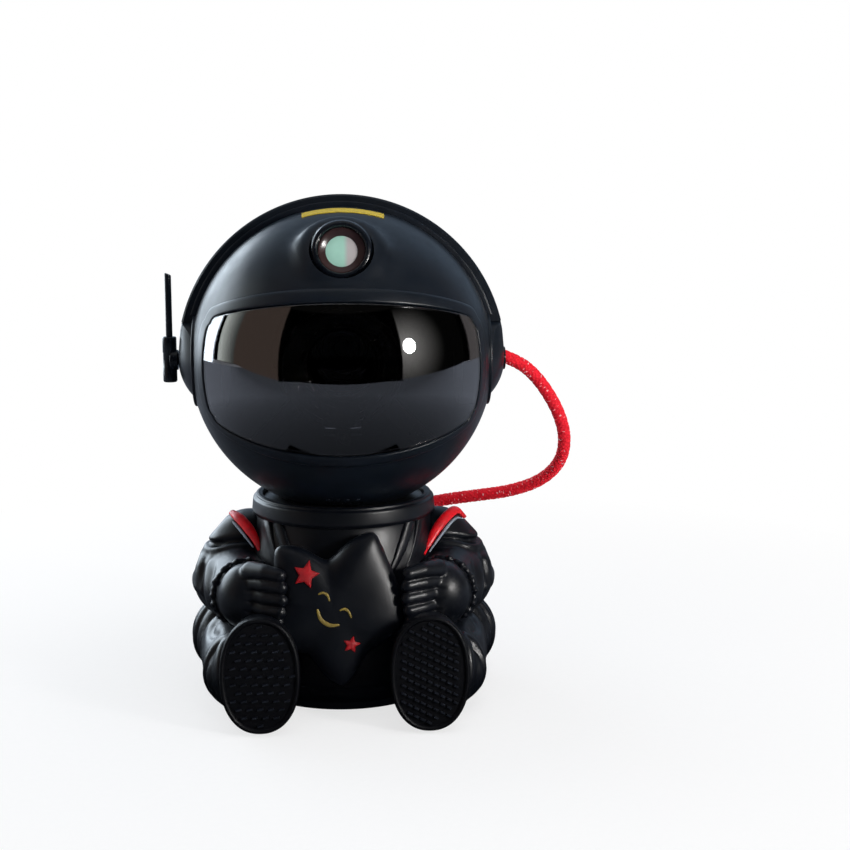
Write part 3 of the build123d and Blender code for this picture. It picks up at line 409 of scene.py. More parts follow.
def uneven(tree, place, size, detail, low, high, start=0.3, end=0.7):
    """Value that drifts from low to high over patches of size millimetres."""
    patches = node(tree, "TexNoise", {"Vector": place, "Scale": per_mm(size), "Detail": detail})
    return node(tree, "MapRange", {"Value": patches.outputs[0], "From Min": start, "From Max": end,
                                   "To Min": low, "To Max": high}).outputs[0]


def toothed(tree, shader, place, size, detail, depth):
    """Gives a finish its relief: features of size millimetres, depth millimetres deep."""
    tooth = node(tree, "TexNoise", {"Vector": place, "Scale": per_mm(size), "Detail": detail})
    bump = node(tree, "Bump", {"Height": tooth.outputs[0], "Distance": depth * MM, "Strength": 1.0})
    tree.links.new(bump.outputs[0], shader.inputs["Normal"])


# ---------------------------------------------------------------- finishes
def moulded_plastic(name, colour, shade, roughness, texture_mm=0.45, texture_depth=0.012, ior=1.53):
    """Moulded ABS. Its mould was spark-eroded, so it is satin with a fine grain, drawn coarser than it is so
    that it shows, and it is a little uneven in tone and in gloss where it was handled."""
    material, tree, shader, place = blank(name)
    tree.links.new(mottled(tree, place, 14.0, 4.0, colour, shade), shader.inputs["Base Color"])
    gloss = uneven(tree, place, 6.0, 5.0, roughness - 0.035, roughness + 0.045)
    tree.links.new(gloss, shader.inputs["Roughness"])
    shader.inputs["IOR"].default_value = ior
    toothed(tree, shader, place, texture_mm, 3.0, texture_depth)
    return material


def metal(name, colour, shade, roughness, line_mm=0.3, axis="X"):
    """Turned, brushed or plated metal: fine lines from its making and a slightly uneven tone."""
    material, tree, shader, place = blank(name)
    stretch = {"X": (0.04, 1, 1), "Y": (1, 0.04, 1), "Z": (1, 1, 0.04)}[axis]
    drawn = node(tree, "Mapping", {"Vector": place, "Scale": stretch}).outputs[0]
    tree.links.new(mottled(tree, place, 5.0, 3.0, colour, shade), shader.inputs["Base Color"])
    gloss = uneven(tree, drawn, line_mm, 3.0, roughness - 0.06, roughness + 0.08)
    tree.links.new(gloss, shader.inputs["Roughness"])
    shader.inputs["Metallic"].default_value = 1.0
    toothed(tree, shader, drawn, line_mm, 3.0, 0.008)
    return material


def clear_plastic(name, colour, roughness, ior):
    """Clear moulded or ground piece: smooth, with faint flow marks."""
    material, tree, shader, place = blank(name)
    flow_mm = 9.0
    shader.inputs["Base Color"].default_value = linear(colour)
    shader.inputs["Transmission Weight"].default_value = 1.0
    shader.inputs["IOR"].default_value = ior
    gloss = uneven(tree, place, flow_mm, 2.0, roughness, roughness + 0.02)
    tree.links.new(gloss, shader.inputs["Roughness"])
    toothed(tree, shader, place, flow_mm, 2.0, 0.004)
    return material


def visor_acrylic():
    """Acrylic, moulded, mirrored and hard-coated: it throws the room back, and the dark inside of the head
    shows through it faintly. Its IOR is high to give the mirror its strength."""
    material, tree, shader, place = blank("smoked_acrylic")
    tree.links.new(mottled(tree, place, 30.0, 1.0, "#cbc8cb", "#c4c2c7"), shader.inputs["Base Color"])
    tree.links.new(uneven(tree, place, 18.0, 2.0, 0.008, 0.02), shader.inputs["Roughness"])
    shader.inputs["Transmission Weight"].default_value = 1.0
    shader.inputs["IOR"].default_value = 2.4
    shader.inputs["Coat Weight"].default_value = 0.5
    shader.inputs["Coat Roughness"].default_value = 0.01
    return material


def coated_window():
    """Window of the laser projector: glass whose coating throws back a pale green. Towards its right side it is
    painted greyer: a painted reflection of the dark of the hood."""
    material, tree, shader, place = blank("green_coated_glass")
    green = mottled(tree, place, 7.0, 2.0, "#9fcdba", "#aedcc9", 0.25, 0.75)
    # towards +X the colour turns grey: a painted reflection of the hood's dark inside
    across = node(tree, "SeparateXYZ", {"Vector": place}).outputs["X"]
    tone = blended(tree, across, 0.8 * MM, 2.6 * MM, green, linear("#b9b2b0"))
    tree.links.new(tone, shader.inputs["Base Color"])
    shader.inputs["Roughness"].default_value = 0.12
    shader.inputs["Coat Weight"].default_value = 1.0
    shader.inputs["Coat Roughness"].default_value = 0.03
    toothed(tree, shader, place, 1.2, 2.0, 0.004)
    return material


def label_vinyl():
    """Printed vinyl strip: flat yellow, dulled by fine darker specks and a fine grain."""
    material, tree, shader, place = blank("yellow_vinyl")
    tone = mottled(tree, place, 0.8, 4.0, "#dcbf2e", "#b39a24", 0.35, 0.75)
    tree.links.new(tone, shader.inputs["Base Color"])
    shader.inputs["Roughness"].default_value = 0.42
    toothed(tree, shader, place, 0.5, 2.0, 0.01)
    return material


def lacquer(name, colour, shade, roughness):
    """Brush-on lacquer over plastic: even colour with slight pooling and a soft orange peel."""
    material, tree, shader, place = blank(name)
    pool_mm, peel_mm = 3.0, 0.9
    tree.links.new(mottled(tree, place, pool_mm, 3.0, colour, shade), shader.inputs["Base Color"])
    gloss = uneven(tree, place, pool_mm, 3.0, roughness, roughness + 0.08, 0.42, 0.58)
    tree.links.new(gloss, shader.inputs["Roughness"])
    toothed(tree, shader, place, peel_mm, 2.0, 0.02)
    return material


def braid_polyester():
    """Braided polyester sleeve: red yarn with short white flecks along the strands, painted glints of light on
    the yarn.
    """
    material, tree, shader, _ = blank("braided_polyester")
    around = node(tree, "UVMap", {}, uv_map="braid").outputs[0]
    # the map is in millimetres, so these scales are too: long features along the strand, thin ones across it
    strand = node(tree, "Mapping", {"Vector": around, "Rotation": (0, 0, math.radians(38)),
                                    "Scale": (0.55, 1.9, 1.0)}).outputs[0]
    yarn, glint_flecks, fibres = [
        node(tree, "TexNoise", {"Vector": strand, "Scale": scale, "Detail": detail}).outputs[0]
        for scale, detail in ((1.6, 3.0), (0.62, 1.0), (5.0, 2.0))]
    red = blended(tree, yarn, 0.3, 0.7, linear("#d00f1e"), linear("#fb1f33"))
    # the white flecks over the red are painted glints of light on the yarn
    tone = blended(tree, glint_flecks, 0.66, 0.70, red, linear("#e7b9be"), 0.85)
    tree.links.new(tone, shader.inputs["Base Color"])
    shader.inputs["Roughness"].default_value = 0.7
    shader.inputs["Specular IOR Level"].default_value = 0.2
    bump = node(tree, "Bump", {"Height": fibres, "Distance": 0.12 * MM, "Strength": 1.0})
    tree.links.new(bump.outputs[0], shader.inputs["Normal"])
    return material


def sole_rubber():
    """Moulded rubber: dull black with a fine tooth, uneven in tone where it was rubbed."""
    material, tree, shader, place = blank("moulded_rubber")
    tree.links.new(mottled(tree, place, 5.0, 4.0, "#030409", "#06070c"), shader.inputs["Base Color"])
    tree.links.new(uneven(tree, place, 1.0, 3.0, 0.42, 0.55), shader.inputs["Roughness"])
    shader.inputs["Specular IOR Level"].default_value = 0.28
    toothed(tree, shader, place, 0.35, 3.0, 0.02)
    return material


def pad_foam():
    """Closed-cell EVA foam: black with tiny cut cells."""
    material, tree, shader, place = blank("eva_foam")
    cells = node(tree, "TexVoronoi", {"Vector": place, "Scale": per_mm(0.7)}).outputs["Distance"]
    # darker in the middle of each cell, where the bump dips: painted shade in the cells
    tone = blended(tree, cells, 0.1, 0.6, linear("#0d0d0f"), linear("#2a2a2d"))
    tree.links.new(tone, shader.inputs["Base Color"])
    shader.inputs["Roughness"].default_value = 0.9
    bump = node(tree, "Bump", {"Height": cells, "Distance": 0.1 * MM, "Strength": 1.0})
    tree.links.new(bump.outputs[0], shader.inputs["Normal"])
    return material


def board_laminate():
    """Glass-fibre laminate under green solder mask, with the weave and the tracks just showing."""
    material, tree, shader, place = blank("solder_mask")
    weave = node(tree, "TexChecker", {"Vector": place, "Scale": per_mm(1.0),
                                      "Color1": linear("#0f4a24"), "Color2": linear("#135a2c")}).outputs[0]
    tracks = uneven(tree, place, 2.0, 1.0, 0.0, 1.0, 0.52, 0.56)
    tone = blended(tree, tracks, 0.0, 1.0, weave, linear("#1d7a3c"))
    tree.links.new(tone, shader.inputs["Base Color"])
    shader.inputs["Roughness"].default_value = 0.3
    bump = node(tree, "Bump", {"Height": tracks, "Distance": 0.03 * MM, "Strength": 1.0})
    tree.links.new(bump.outputs[0], shader.inputs["Normal"])
    return material


# the helmet is satin, the body a little duller with a coarser grain, and hood, hub and eyelet are polished
SATIN_ABS = moulded_plastic("satin_abs", "#0a1119", "#0d151f", 0.36)
SUIT_ABS = moulded_plastic("suit_abs", "#05080f", "#080c14", 0.37, 0.5, 0.014)
GLOSS_ABS = moulded_plastic("gloss_abs", "#080c13", "#0b1017", 0.25, 0.6, 0.006)
INNER_ABS = moulded_plastic("inner_abs", "#0b0b0d", "#131316", 0.3, 0.4, 0.01)
BEZEL_ABS = moulded_plastic("bezel_abs", "#3a2726", "#2a1c1d", 0.22, 0.5, 0.006)
KEY_ABS = moulded_plastic("key_abs", "#2b2d33", "#33353c", 0.38)
CASE_EPOXY = moulded_plastic("case_epoxy", "#131314", "#1c1c1e", 0.55, 0.25, 0.02)    # dull chip cases
ACETAL = moulded_plastic("moulded_acetal", "#d8d6cc", "#e4e2da", 0.4, 0.6, 0.01, 1.48)    # waxy cream gears
# the vent discs are pale as a painted highlight for the light caught in the vent holes
VENT_GLINT_PAINT = moulded_plastic("vent_glint_discs", "#5b6066", "#7b8087", 0.8, 0.3, 0.05)    # pale, without a highlight
VISOR = visor_acrylic()
WINDOW = coated_window()
LENS_GLASS = clear_plastic("ground_glass", "#e9f0f2", 0.0, 1.52)
CLEAR_ACRYLIC = clear_plastic("clear_acrylic", "#dfeaf2", 0.02, 1.49)
LABEL = label_vinyl()
RED_LACQUER = lacquer("red_lacquer", "#ee0f1e", "#cc0a17", 0.34)
DEEP_RED_LACQUER = lacquer("deep_red_lacquer", "#a8020c", "#8c010a", 0.4)
# pale grey for the raised line under the piping: a painted highlight of the piping's lower edge
EDGE_HIGHLIGHT_PAINT = lacquer("edge_highlight_paint", "#9aa3ad", "#7f8892", 0.3)
GOLD_LACQUER = lacquer("gold_lacquer", "#8f7a30", "#6f5c22", 0.4)
BRAID = braid_polyester()
SOLE = sole_rubber()
TREAD_PAINTED_SHEEN = moulded_plastic("tread_rubber_painted_sheen", "#0d1016", "#1a1e26", 0.3, 0.4, 0.01)    # shinier than the sole, and lighter in colour: a painted highlight for the light the bars catch
PAD = pad_foam()
BOARD = board_laminate()
ZINC_STEEL = metal("zinc_steel", "#b9bcc0", "#a3a7ad", 0.36)
NICKEL = metal("nickel_plate", "#cfcdc8", "#c2c0bb", 0.18)
BRASS = metal("turned_brass", "#c9a558", "#b38f45", 0.28, 0.25, "Z")
ALUMINIUM = metal("extruded_aluminium", "#c4c7cb", "#b2b5ba", 0.34, 0.3, "Y")


# ---------------------------------------------------------------- hose
def spline_points(route):
    """Places along the smooth line that the route's places control, in metres."""
    curve = bpy.data.curves.new("route", "CURVE")
    curve.dimensions = "3D"
    curve.resolution_u = 48
    spline = curve.splines.new("NURBS")
    spline.points.add(len(route) - 1)
    for spot, place in zip(spline.points, route):
        spot.co = (*point(place), 1.0)
    spline.order_u = 3
    spline.use_endpoint_u = True
    holder = bpy.data.objects.new("route", curve)
    bpy.context.scene.collection.objects.link(holder)
    bpy.context.view_layer.update()
    line = bpy.data.meshes.new_from_object(holder)
    points = [vertex.co.copy() for vertex in line.vertices]
    bpy.data.objects.remove(holder)
    return points


def braid_height(around, along):
    """Relief of the braid from 0 to 1: eight strands each way, over and under each other."""
    lead = 2 * math.pi * HOSE_R
    one = math.cos(math.pi * (8 * around + 8 * along / lead)) ** 2
    other = math.cos(math.pi * (8 * around - 8 * along / lead)) ** 2
    over = math.cos(math.pi * 8 * around) * math.cos(math.pi * 8 * along / lead) > 0
    return max(one, 0.55 * other) if over else max(0.55 * one, other)


def hose():
    """Braided sleeve from the right ear down to the backpack."""
    path = spline_points(HOSE_ROUTE)
    sides, strand_depth = 48, 0.34
    rows = len(path)
    corners, faces, spots = [], [], []
    along = 0.0
    across = Vector((0, 1, 0))
    for number, place in enumerate(path):
        after, before = path[min(number + 1, rows - 1)], path[max(number - 1, 0)]
        way = (after - before).normalized()
        across = (across - way * across.dot(way)).normalized()
        other = way.cross(across)
        if number:
            along += (place - path[number - 1]).length / MM
        for side in range(sides):
            angle = 2 * math.pi * side / sides
            radius = HOSE_R - strand_depth + strand_depth * braid_height(side / sides, along)
            corners.append(place / MM + (across * math.cos(angle) + other * math.sin(angle)) * radius)
        spots.append(along)
    for row in range(rows - 1):
        for side in range(sides):
            after = (side + 1) % sides
            faces.append((row * sides + side, row * sides + after,
                          (row + 1) * sides + after, (row + 1) * sides + side))
    faces += [tuple(reversed(range(sides))), tuple(range((rows - 1) * sides, rows * sides))]
    tube = made_from(corners, faces)
    layer = tube.data.uv_layers.new(name="braid")
    for face in tube.data.polygons[:-2]:
        row, side = divmod(face.index, sides)
        for loop, (down, over) in zip(face.loop_indices, ((0, 0), (0, 1), (1, 1), (1, 0))):
            turn = (side + over) / sides
            layer.data[loop].uv = (turn * 2 * math.pi * HOSE_R, spots[row + down])
    smooth(tube, 60)
    finished(tube, "braided_hose", None, BRAID, ["hose"])
    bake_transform(tube)


# ---------------------------------------------------------------- head shells
def on_head(longitude, latitude):
    """Place on the head, from degrees to the right of and above straight ahead."""
    lon, lat = math.radians(longitude), math.radians(latitude)
    return Vector((HEAD_R * math.cos(lat) * math.sin(lon), -HEAD_R * math.cos(lat) * math.cos(lon),
                   HEAD_Z + HEAD_R * math.sin(lat)))


def window_place(window, across, up, radius):
    """Place on a ball where the visor's outline coordinates are across and up, each from -1 to 1."""
    side, top, bottom, _ = window
    slope = math.tan(math.radians(side)) * across
    share = (up + 1) / 2
    start = bottom[0] + (top[0] - bottom[0]) * share
    rise = bottom[1] + (top[1] - bottom[1]) * share
    a, b, c = slope ** 2 + 1 + rise ** 2, 2 * start * rise, start ** 2 - radius ** 2
    depth = (-b + math.sqrt(b * b - 4 * a * c)) / (2 * a)
    return Vector((slope * depth, -depth, HEAD_Z + start + rise * depth))


def cornered(window, x, y):
    """Outline coordinates of a place on a window's edge, drawn in where its corners are round."""
    across_r, up_r = window[3] / WINDOW_HALF[0], window[3] / WINDOW_HALF[1]
    over_x, over_y = (abs(x) - 1 + across_r) / across_r, (abs(y) - 1 + up_r) / up_r
    if over_x > 0 and over_y > 0:
        scale = max(over_x, over_y) / math.hypot(over_x, over_y)
        x = math.copysign(1 - across_r + over_x * scale * across_r, x)
        y = math.copysign(1 - up_r + over_y * scale * up_r, y)
    return x, y


def window_edge(window, share):
    """Outline coordinates at a share of the way round a window. The places lie closest at its corners."""
    turn = share * 2 * math.pi
    x, y = math.cos(turn), math.sin(turn)
    power = 2 / 0.22
    size = (abs(x) ** power + abs(y) ** power) ** (-1 / power)
    return cornered(window, x * size, y * size)


def window_loop(window, radius, grow=0.0):
    """Loop of places round a window on the head, moved outwards by grow millimetres."""
    count = 320
    loop = [window_place(window, *window_edge(window, number / count), radius) for number in range(count)]
    if grow == 0:
        return loop
    moved = []
    for number, place in enumerate(loop):
        along = loop[(number + 1) % count] - loop[number - 1]
        outward = along.cross(place - HEAD_CENTRE).normalized()
        if outward.dot(place - window_place(window, 0, 0, radius)) < 0:
            outward = -outward
        moved.append(HEAD_CENTRE + (place - HEAD_CENTRE + outward * grow).normalized() * radius)
    return moved


def partway(first, second, share, radius):
    """Loop part of the way from one loop to another over a ball."""
    ways = [((a - HEAD_CENTRE).normalized(), (b - HEAD_CENTRE).normalized()) for a, b in zip(first, second)]
    return [HEAD_CENTRE + a.slerp(b, share) * radius for a, b in ways]


def swell_at_hood(obj):
    """Raises the shell softly where the hood comes out of it."""
    places, _ = coordinates(obj)
    centre = np.array(HEAD_CENTRE)
    axis = np.array((0, -math.cos(SWELL_LEAN), math.sin(SWELL_LEAN)))
    up = np.array((0, math.sin(SWELL_LEAN), math.cos(SWELL_LEAN)))
    offset = places - np.array(HOOD_PLACE)
    off_axis = offset - (offset @ axis)[:, None] * axis
    distance = np.linalg.norm(off_axis, axis=1)
    proud = np.clip((off_axis @ up) / 14 * 3.6 + 4.2, 0.6, 7)
    share = np.clip((21.5 - distance) / 7.5, 0, 1)
    near = (offset @ axis > -30) & (np.linalg.norm(places - centre, axis=1) > HEAD_R - 1)
    move = np.where(near, 0.72 * proud * share ** 2 * (3 - 2 * share), 0)
    put_back(obj, places + (places - centre) / HEAD_R * move[:, None])


def face_shell():
    """Front of the helmet: a thin shell with a lip round the visor, a hole for the hood and small vents."""
    border = window_loop(FRAME_WINDOW, HEAD_R, -1.0)
    rim = []
    for place in border:
        angle = math.atan2(place.z - HEAD_Z, place.x)
        rim.append(Vector((math.cos(angle), 0, math.sin(angle))))

    def edge(radius, y):
        """Loop where a ball of this radius meets the plane at y."""
        flat = math.sqrt(radius ** 2 - y ** 2)
        return [Vector((flat * spot.x, y, HEAD_Z + flat * spot.z)) for spot in rim]

    outer_edge, inner_edge = edge(HEAD_R, SPLIT_Y - 0.45), edge(HEAD_R - HEAD_WALL, SPLIT_Y)
    window_outer = window_loop(VISOR_WINDOW, HEAD_R, SEAM)
    inner_window = window_loop(VISOR_WINDOW, HEAD_R - HEAD_WALL, SEAM)
    loops = [inner_edge, edge(HEAD_R - 0.3, SPLIT_Y), edge(HEAD_R - 0.08, SPLIT_Y - 0.12), outer_edge]
    rows = 72
    loops += [partway(outer_edge, border, row / rows, HEAD_R) for row in range(1, rows + 1)]
    loops += [partway(border, window_outer, share, HEAD_R) for share in (0.5, 1.0)]
    loops += [inner_window]
    loops += [partway(inner_window, inner_edge, row / 24, HEAD_R - HEAD_WALL) for row in range(1, 24)]
    shell = bridged(loops, closed=True)
    swell_at_hood(shell)
    hole = turned([(0, -30, 0), (12.9, -30, 0), (12.9, 20, 0), (0, 20, 0)], HOOD_PLACE, HOOD_AXIS)
    combine(shell, hole, "DIFFERENCE")
    combine(shell, joined([vent_hole(*place) for place in VENTS]), "DIFFERENCE")
    smooth(shell, 32)
    finished(shell, "helmet_face", "head", SATIN_ABS, ["face_shell"])


# rows of holes in the chin: their latitude, their count and their radius
VENT_ROWS = ((-57.6, 4, 0.85), (-61.6, 5, 0.85), (-65.8, 4, 0.75))
VENTS = [(6.6 * (hole - (count - 1) / 2), latitude, radius)
         for latitude, count, radius in VENT_ROWS for hole in range(count)]


def hose_collar():
    """Low eyelet in the ear, round the axis that the head tilts on, where the hose comes out."""
    ring = turned([(4.1, 68.0, 0), (5.0, 68.0, 0), (4.9, 70.3, 0.4), (4.1, 70.3, 0.2), (4.1, 68.0, 0)],
                  HEAD_CENTRE, (1, 0, 0), steps=64)
    smooth(ring, 32)
    finished(ring, "hose_collar", "head", GLOSS_ABS, ["hose_ferrule"])


def vent_hole(longitude, latitude, radius):
    """Cutter of one vent in the chin, with a wide mouth that catches light."""
    place = on_head(longitude, latitude)
    corners = [(0, -3.2, 0), (radius, -3.2, 0), (radius, -0.35, 0), (radius + 0.55, 0.2, 0), (0, 0.2, 0)]
    return turned(corners, place, place - HEAD_CENTRE, steps=16)


def vent_glint_discs():
    """Pale discs in the vents, a painted highlight for the light that the vent holes catch."""
    discs = []
    for longitude, latitude, radius in VENTS:
        place = on_head(longitude, latitude)
        corners = [(0, -1.4, 0), (radius - 0.03, -1.4, 0), (radius - 0.03, -0.6, 0), (0, -0.5, 0)]
        discs.append(turned(corners, place, place - HEAD_CENTRE, steps=16))
    finished(smooth(joined(discs), 32), "vent_glint_discs", "head", VENT_GLINT_PAINT)


def surround():
    """Raised border round the visor, with a soft step down to the helmet."""
    wide, narrow = window_loop(FRAME_WINDOW, HEAD_R), window_loop(VISOR_WINDOW, HEAD_R, SEAM)
    steps = [(0.0, HEAD_R - 0.05), (0.05, HEAD_R + 0.28), (0.13, HEAD_R + 0.56), (0.24, FRAME_R - 0.04),
             (0.36, FRAME_R), (0.6, FRAME_R), (0.86, FRAME_R), (0.94, FRAME_R - 0.05), (0.98, FRAME_R - 0.18),
             (1.0, FRAME_R - 0.4), (1.0, HEAD_R - 1.6), (0.9, HEAD_R - 1.6), (0.9, HEAD_R - 0.05)]
    loops = [partway(wide, narrow, share, radius) for share, radius in steps]
    ring = bridged(loops, closed=True)
    smooth(ring, 50)
    finished(ring, "visor_surround", "head", SATIN_ABS, ["visor_frame"])


def visor():
    """Smoked pane, curved like the helmet, with a rounded rim."""
    bpy.ops.object.select_all(action="DESELECT")
    bpy.ops.mesh.primitive_grid_add(x_subdivisions=120, y_subdivisions=80, size=2)
    pane = bpy.context.object
    for vertex in pane.data.vertices:
        x, y = vertex.co.x, vertex.co.y
        reach = max(abs(x), abs(y))
        if reach > 1e-6:
            edge_x, edge_y = cornered(VISOR_WINDOW, x / reach, y / reach)
            x, y = edge_x * reach, edge_y * reach
        vertex.co = point(window_place(VISOR_WINDOW, x, y, VISOR_R))
    face = outwards(pane).data.polygons[0]
    outward = face.normal.dot(face.center - point(HEAD_CENTRE)) > 0
    modify(pane, "SOLIDIFY", thickness=VISOR_THICK * MM, offset=-1.0 if outward else 1.0)
    modify(pane, "BEVEL", width=0.5 * MM, segments=3, limit_method="ANGLE", angle_limit=math.radians(40))
    smooth(pane, 50)
    finished(pane, "visor_pane", "head", VISOR, ["visor"])


def rear_shell():
    """Back of the helmet, with a seat for the control plate, deep screw holes and four cooling slots."""
    arc = [math.radians(angle) for angle in range(5, 72)]
    inner = HEAD_R - HEAD_WALL
    corners = [(inner, SPLIT_Y, 0), (HEAD_R - 0.3, SPLIT_Y, 0), (HEAD_R - 0.1, SPLIT_Y + 0.12, 0)]
    corners += [(HEAD_R * math.cos(angle), HEAD_R * math.sin(angle), 0) for angle in arc]
    corners += [(20.35, 61.75, 0), (20.1, 61.5, 0), (20.1, 59.0, 0), (18.5, 59.0, 0), (18.5, 57.0, 0),
                (22.0, 57.0, 0)]
    corners += [(inner * math.cos(angle), inner * math.sin(angle), 0) for angle in reversed(arc[2:-3:3])]
    corners += [(inner, SPLIT_Y, 0)]
    shell = turned(corners, HEAD_CENTRE, (0, 1, 0), steps=180)
    spread = (HEAD_R - 5.2) / math.sqrt(2)
    cutters = [turned([(0, 11, 0), (2.9, 11, 0), (2.9, 60, 0), (0, 60, 0)],
                      (x * spread, 0, HEAD_Z + z * spread), (0, 1, 0), steps=32)
               for x in (-1, 1) for z in (-1, 1)]
    cutters += [slot_cutter(latitude) for latitude in (-30.0, -34.0, -38.0, -42.0)]
    combine(shell, joined(cutters), "DIFFERENCE")
    smooth(shell, 32)
    finished(shell, "helmet_rear", "head", SATIN_ABS, ["rear_shell"])


def slot_cutter(latitude):
    """Cutter of one cooling slot in the back of the head, with round ends."""
    ends = [turned([(0, 50, 0), (0.75, 50, 0), (0.75, 68, 0), (0, 68, 0)], (x, 0, 0), (0, 1, 0), steps=24)
            for x in (-8.2, 8.2)]
    bpy.ops.object.select_all(action="DESELECT")
    bpy.ops.mesh.primitive_cube_add(size=1, location=point((0, 59, 0)), scale=(16.4 * MM, 18 * MM, 1.5 * MM))
    slot = combine(combine(settle(bpy.context.object), ends[0], "UNION"), ends[1], "UNION")
    slot.matrix_world = Matrix.Translation(point(HEAD_CENTRE)) @ Matrix.Rotation(math.radians(latitude), 4, "X")
    return settle(slot)


def over_the_crown(section, start):
    """Hoop from ear to ear, of one section of (radius, backward) corners. It starts at an angle in degrees."""
    cos, sin = math.cos(BAND_LEAN), math.sin(BAND_LEAN)
    loops = []
    for step in range(145):
        angle = math.radians(start + (180 - 2 * start) * step / 144)
        loop = []
        for radius, across in section:
            x, z = radius * math.cos(angle), radius * math.sin(angle)
            loop.append(Vector((x, across * cos + z * sin, HEAD_Z + z * cos - across * sin)))
        loops.append(loop)
    return outwards(bridged(loops), fill=True)


def crown_band():
    """Band over the crown with the disc that it ends in at each ear, and a bead along its front foot."""
    half, inner = 7.0, HEAD_R - 0.55
    section = soft([(inner, -half, 0), (BAND_R - 0.9, -half, 0), (BAND_R, -half + 0.9, 0.8),
                    (BAND_R, half - 0.9, 0.8), (BAND_R - 0.9, half, 0), (inner, half, 0)], 5)
    hoop = over_the_crown(section, 5.0)
    for side in (LEFT, RIGHT):
        pocket = turned([(0, 55, 0), (17.25, 55, 0), (17.25, 80, 0), (0, 80, 0)],
                        HEAD_CENTRE, (side, 0, 0), steps=128)
        combine(hoop, pocket, "DIFFERENCE")
        disc = turned([(0, 50, 0), (19.8, 50, 0), (20.0, 59, 0.6), (20.0, EAR_X - 0.9, 0.7),
                       (17.2, EAR_X - 0.9, 0.3), (17.1, EAR_X - 2.8, 0), (0, EAR_X - 2.8, 0)],
                      HEAD_CENTRE, (side, 0, 0), steps=128)
        combine(hoop, disc, "UNION")
    smooth(hoop, 35)
    finished(hoop, "crown_hoop", "head", SATIN_ABS, ["crown_band"])
    bead = over_the_crown(soft([(inner, -half - 0.9, 0), (inner + 2.5, -half - 0.9, 0.9),
                                (inner + 2.5, -half + 0.4, 0), (inner, -half + 0.4, 0)], 5), 16.5)
    smooth(bead, 35)
    finished(bead, "crown_bead", "head", SATIN_ABS)


def eased(share):
    """Share from 0 to 1 that starts and ends softly."""
    share = min(max(share, 0.0), 1.0)
    return share * share * (3 - 2 * share)


def ear_cap(side):
    """Domed cap of one ear. The left one carries the antenna's pin, the right one the hose."""
    rim, rise, foot, top = 17.0, 7.7, EAR_X - 2.7, EAR_X + 6.0
    radius = (rim ** 2 + rise ** 2) / (2 * rise)
    dome = [(rim, foot, 0), (rim, top - rise, 0)]
    for angle in range(23, 0, -1):
        share = math.asin(16.8 / radius) * angle / 23
        dome.append((radius * math.sin(share), top - radius + radius * math.cos(share), 0))
    cap = turned([(0, foot, 0), *dome, (0, top, 0)], HEAD_CENTRE, (side, 0, 0), steps=128)
    # the upper half fills out to the band's own curve, so the one runs on into the other
    for vertex in cap.data.vertices:
        out, across, height = abs(vertex.co.x) / MM, abs(vertex.co.y) / MM, vertex.co.z / MM - HEAD_Z
        if out > foot + 0.5:
            reach = min(math.hypot(across, height), rim)
            dome_out = top - radius + math.sqrt(radius ** 2 - reach ** 2)
            band_out = math.sqrt(BAND_R ** 2 - reach ** 2)
            upper, inner = eased((height + 6.0) / 20.0), eased((rim - across) / 13.0)
            vertex.co.x += side * (band_out - dome_out) * upper * inner * MM
    smooth(cap, 30)
    name = "ear_cap_left" if side == LEFT else "ear_cap_right"
    finished(cap, name + "_dome", "head", SATIN_ABS, [name])


def antenna():
    """Slim rod in a sleeve that turns on the left ear."""
    sleeve = turned([(0, 134.0, 0), (3.0, 134.0, 0.9), (3.0, 140, 0), (2.85, 140.4, 0), (2.85, 146.6, 0),
                     (3.0, 147.0, 0), (3.0, 153.5, 0.7), (1.45, 153.5, 0), (1.45, 146, 0), (0, 146, 0)],
                    (ANTENNA_X, 0, 0), (0, 0, 1), steps=64)
    hub = turned([(0, -73.6, 0), (4.3, -73.6, 0.7), (4.3, -70.2, 0.3), (2.0, -70.1, 0), (2.0, -66.0, 0),
                  (0, -66.0, 0)], HEAD_CENTRE, (1, 0, 0), steps=64)
    combine(sleeve, hub, "UNION")
    smooth(sleeve, 35)
    finished(sleeve, "antenna_sleeve", "antenna", GLOSS_ABS, ["antenna_base"])
    slim = turned([(0, 145.6, 0), (1.4, 145.6, 0), (1.4, 182.0, 0), (0, 182.0, 0)],
                  (ANTENNA_X, 0, 0), (0, 0, 1), steps=48)
    cut_flat(slim, (ANTENNA_X, 0, 180.2), (0.37, 0, 0.93))
    modify(slim, "BEVEL", width=0.4 * MM, segments=2, limit_method="ANGLE", angle_limit=math.radians(35))
    smooth(slim, 35)
    finished(slim, "antenna_whip", "antenna", SATIN_ABS, ["antenna_rod"])


def laser_hood():
    """Round hood in the forehead with its bezel and its coated window."""
    hood = turned([(8.3, -14.0, 0), (13.2, -14.0, 0), (13.1, -3.6, 2.4), (11.6, -0.3, 1.8), (9.9, -0.1, 0.9),
                   (9.5, -1.4, 0.5), (9.4, -4.0, 0), (8.3, -4.0, 0), (8.3, -14.0, 0)],
                  HOOD_PLACE, HOOD_AXIS, steps=128)
    smooth(hood, 32)
    finished(hood, "forehead_hood", "head", GLOSS_ABS, ["laser_hood"])
    ring = turned([(6.2, -4.0, 0), (9.45, -4.0, 0), (9.45, -1.9, 0.4), (8.2, -2.4, 0.2), (6.6, -3.3, 0.2),
                   (6.2, -4.0, 0)], HOOD_PLACE, HOOD_AXIS, steps=96)
    smooth(ring, 32)
    finished(ring, "window_bezel", "head", BEZEL_ABS, ["window_ring"])
    pane = turned([(0, -5.5, 0), (8.1, -5.5, 0), (8.1, -4.1, 0), (6.3, -3.75, 0), (4.6, -3.42, 0),
                   (2.3, -3.25, 0), (0, -3.2, 0)], HOOD_PLACE, HOOD_AXIS, steps=96)
    smooth(pane, 32)
    finished(pane, "coated_window", "head", WINDOW, ["laser_window"])


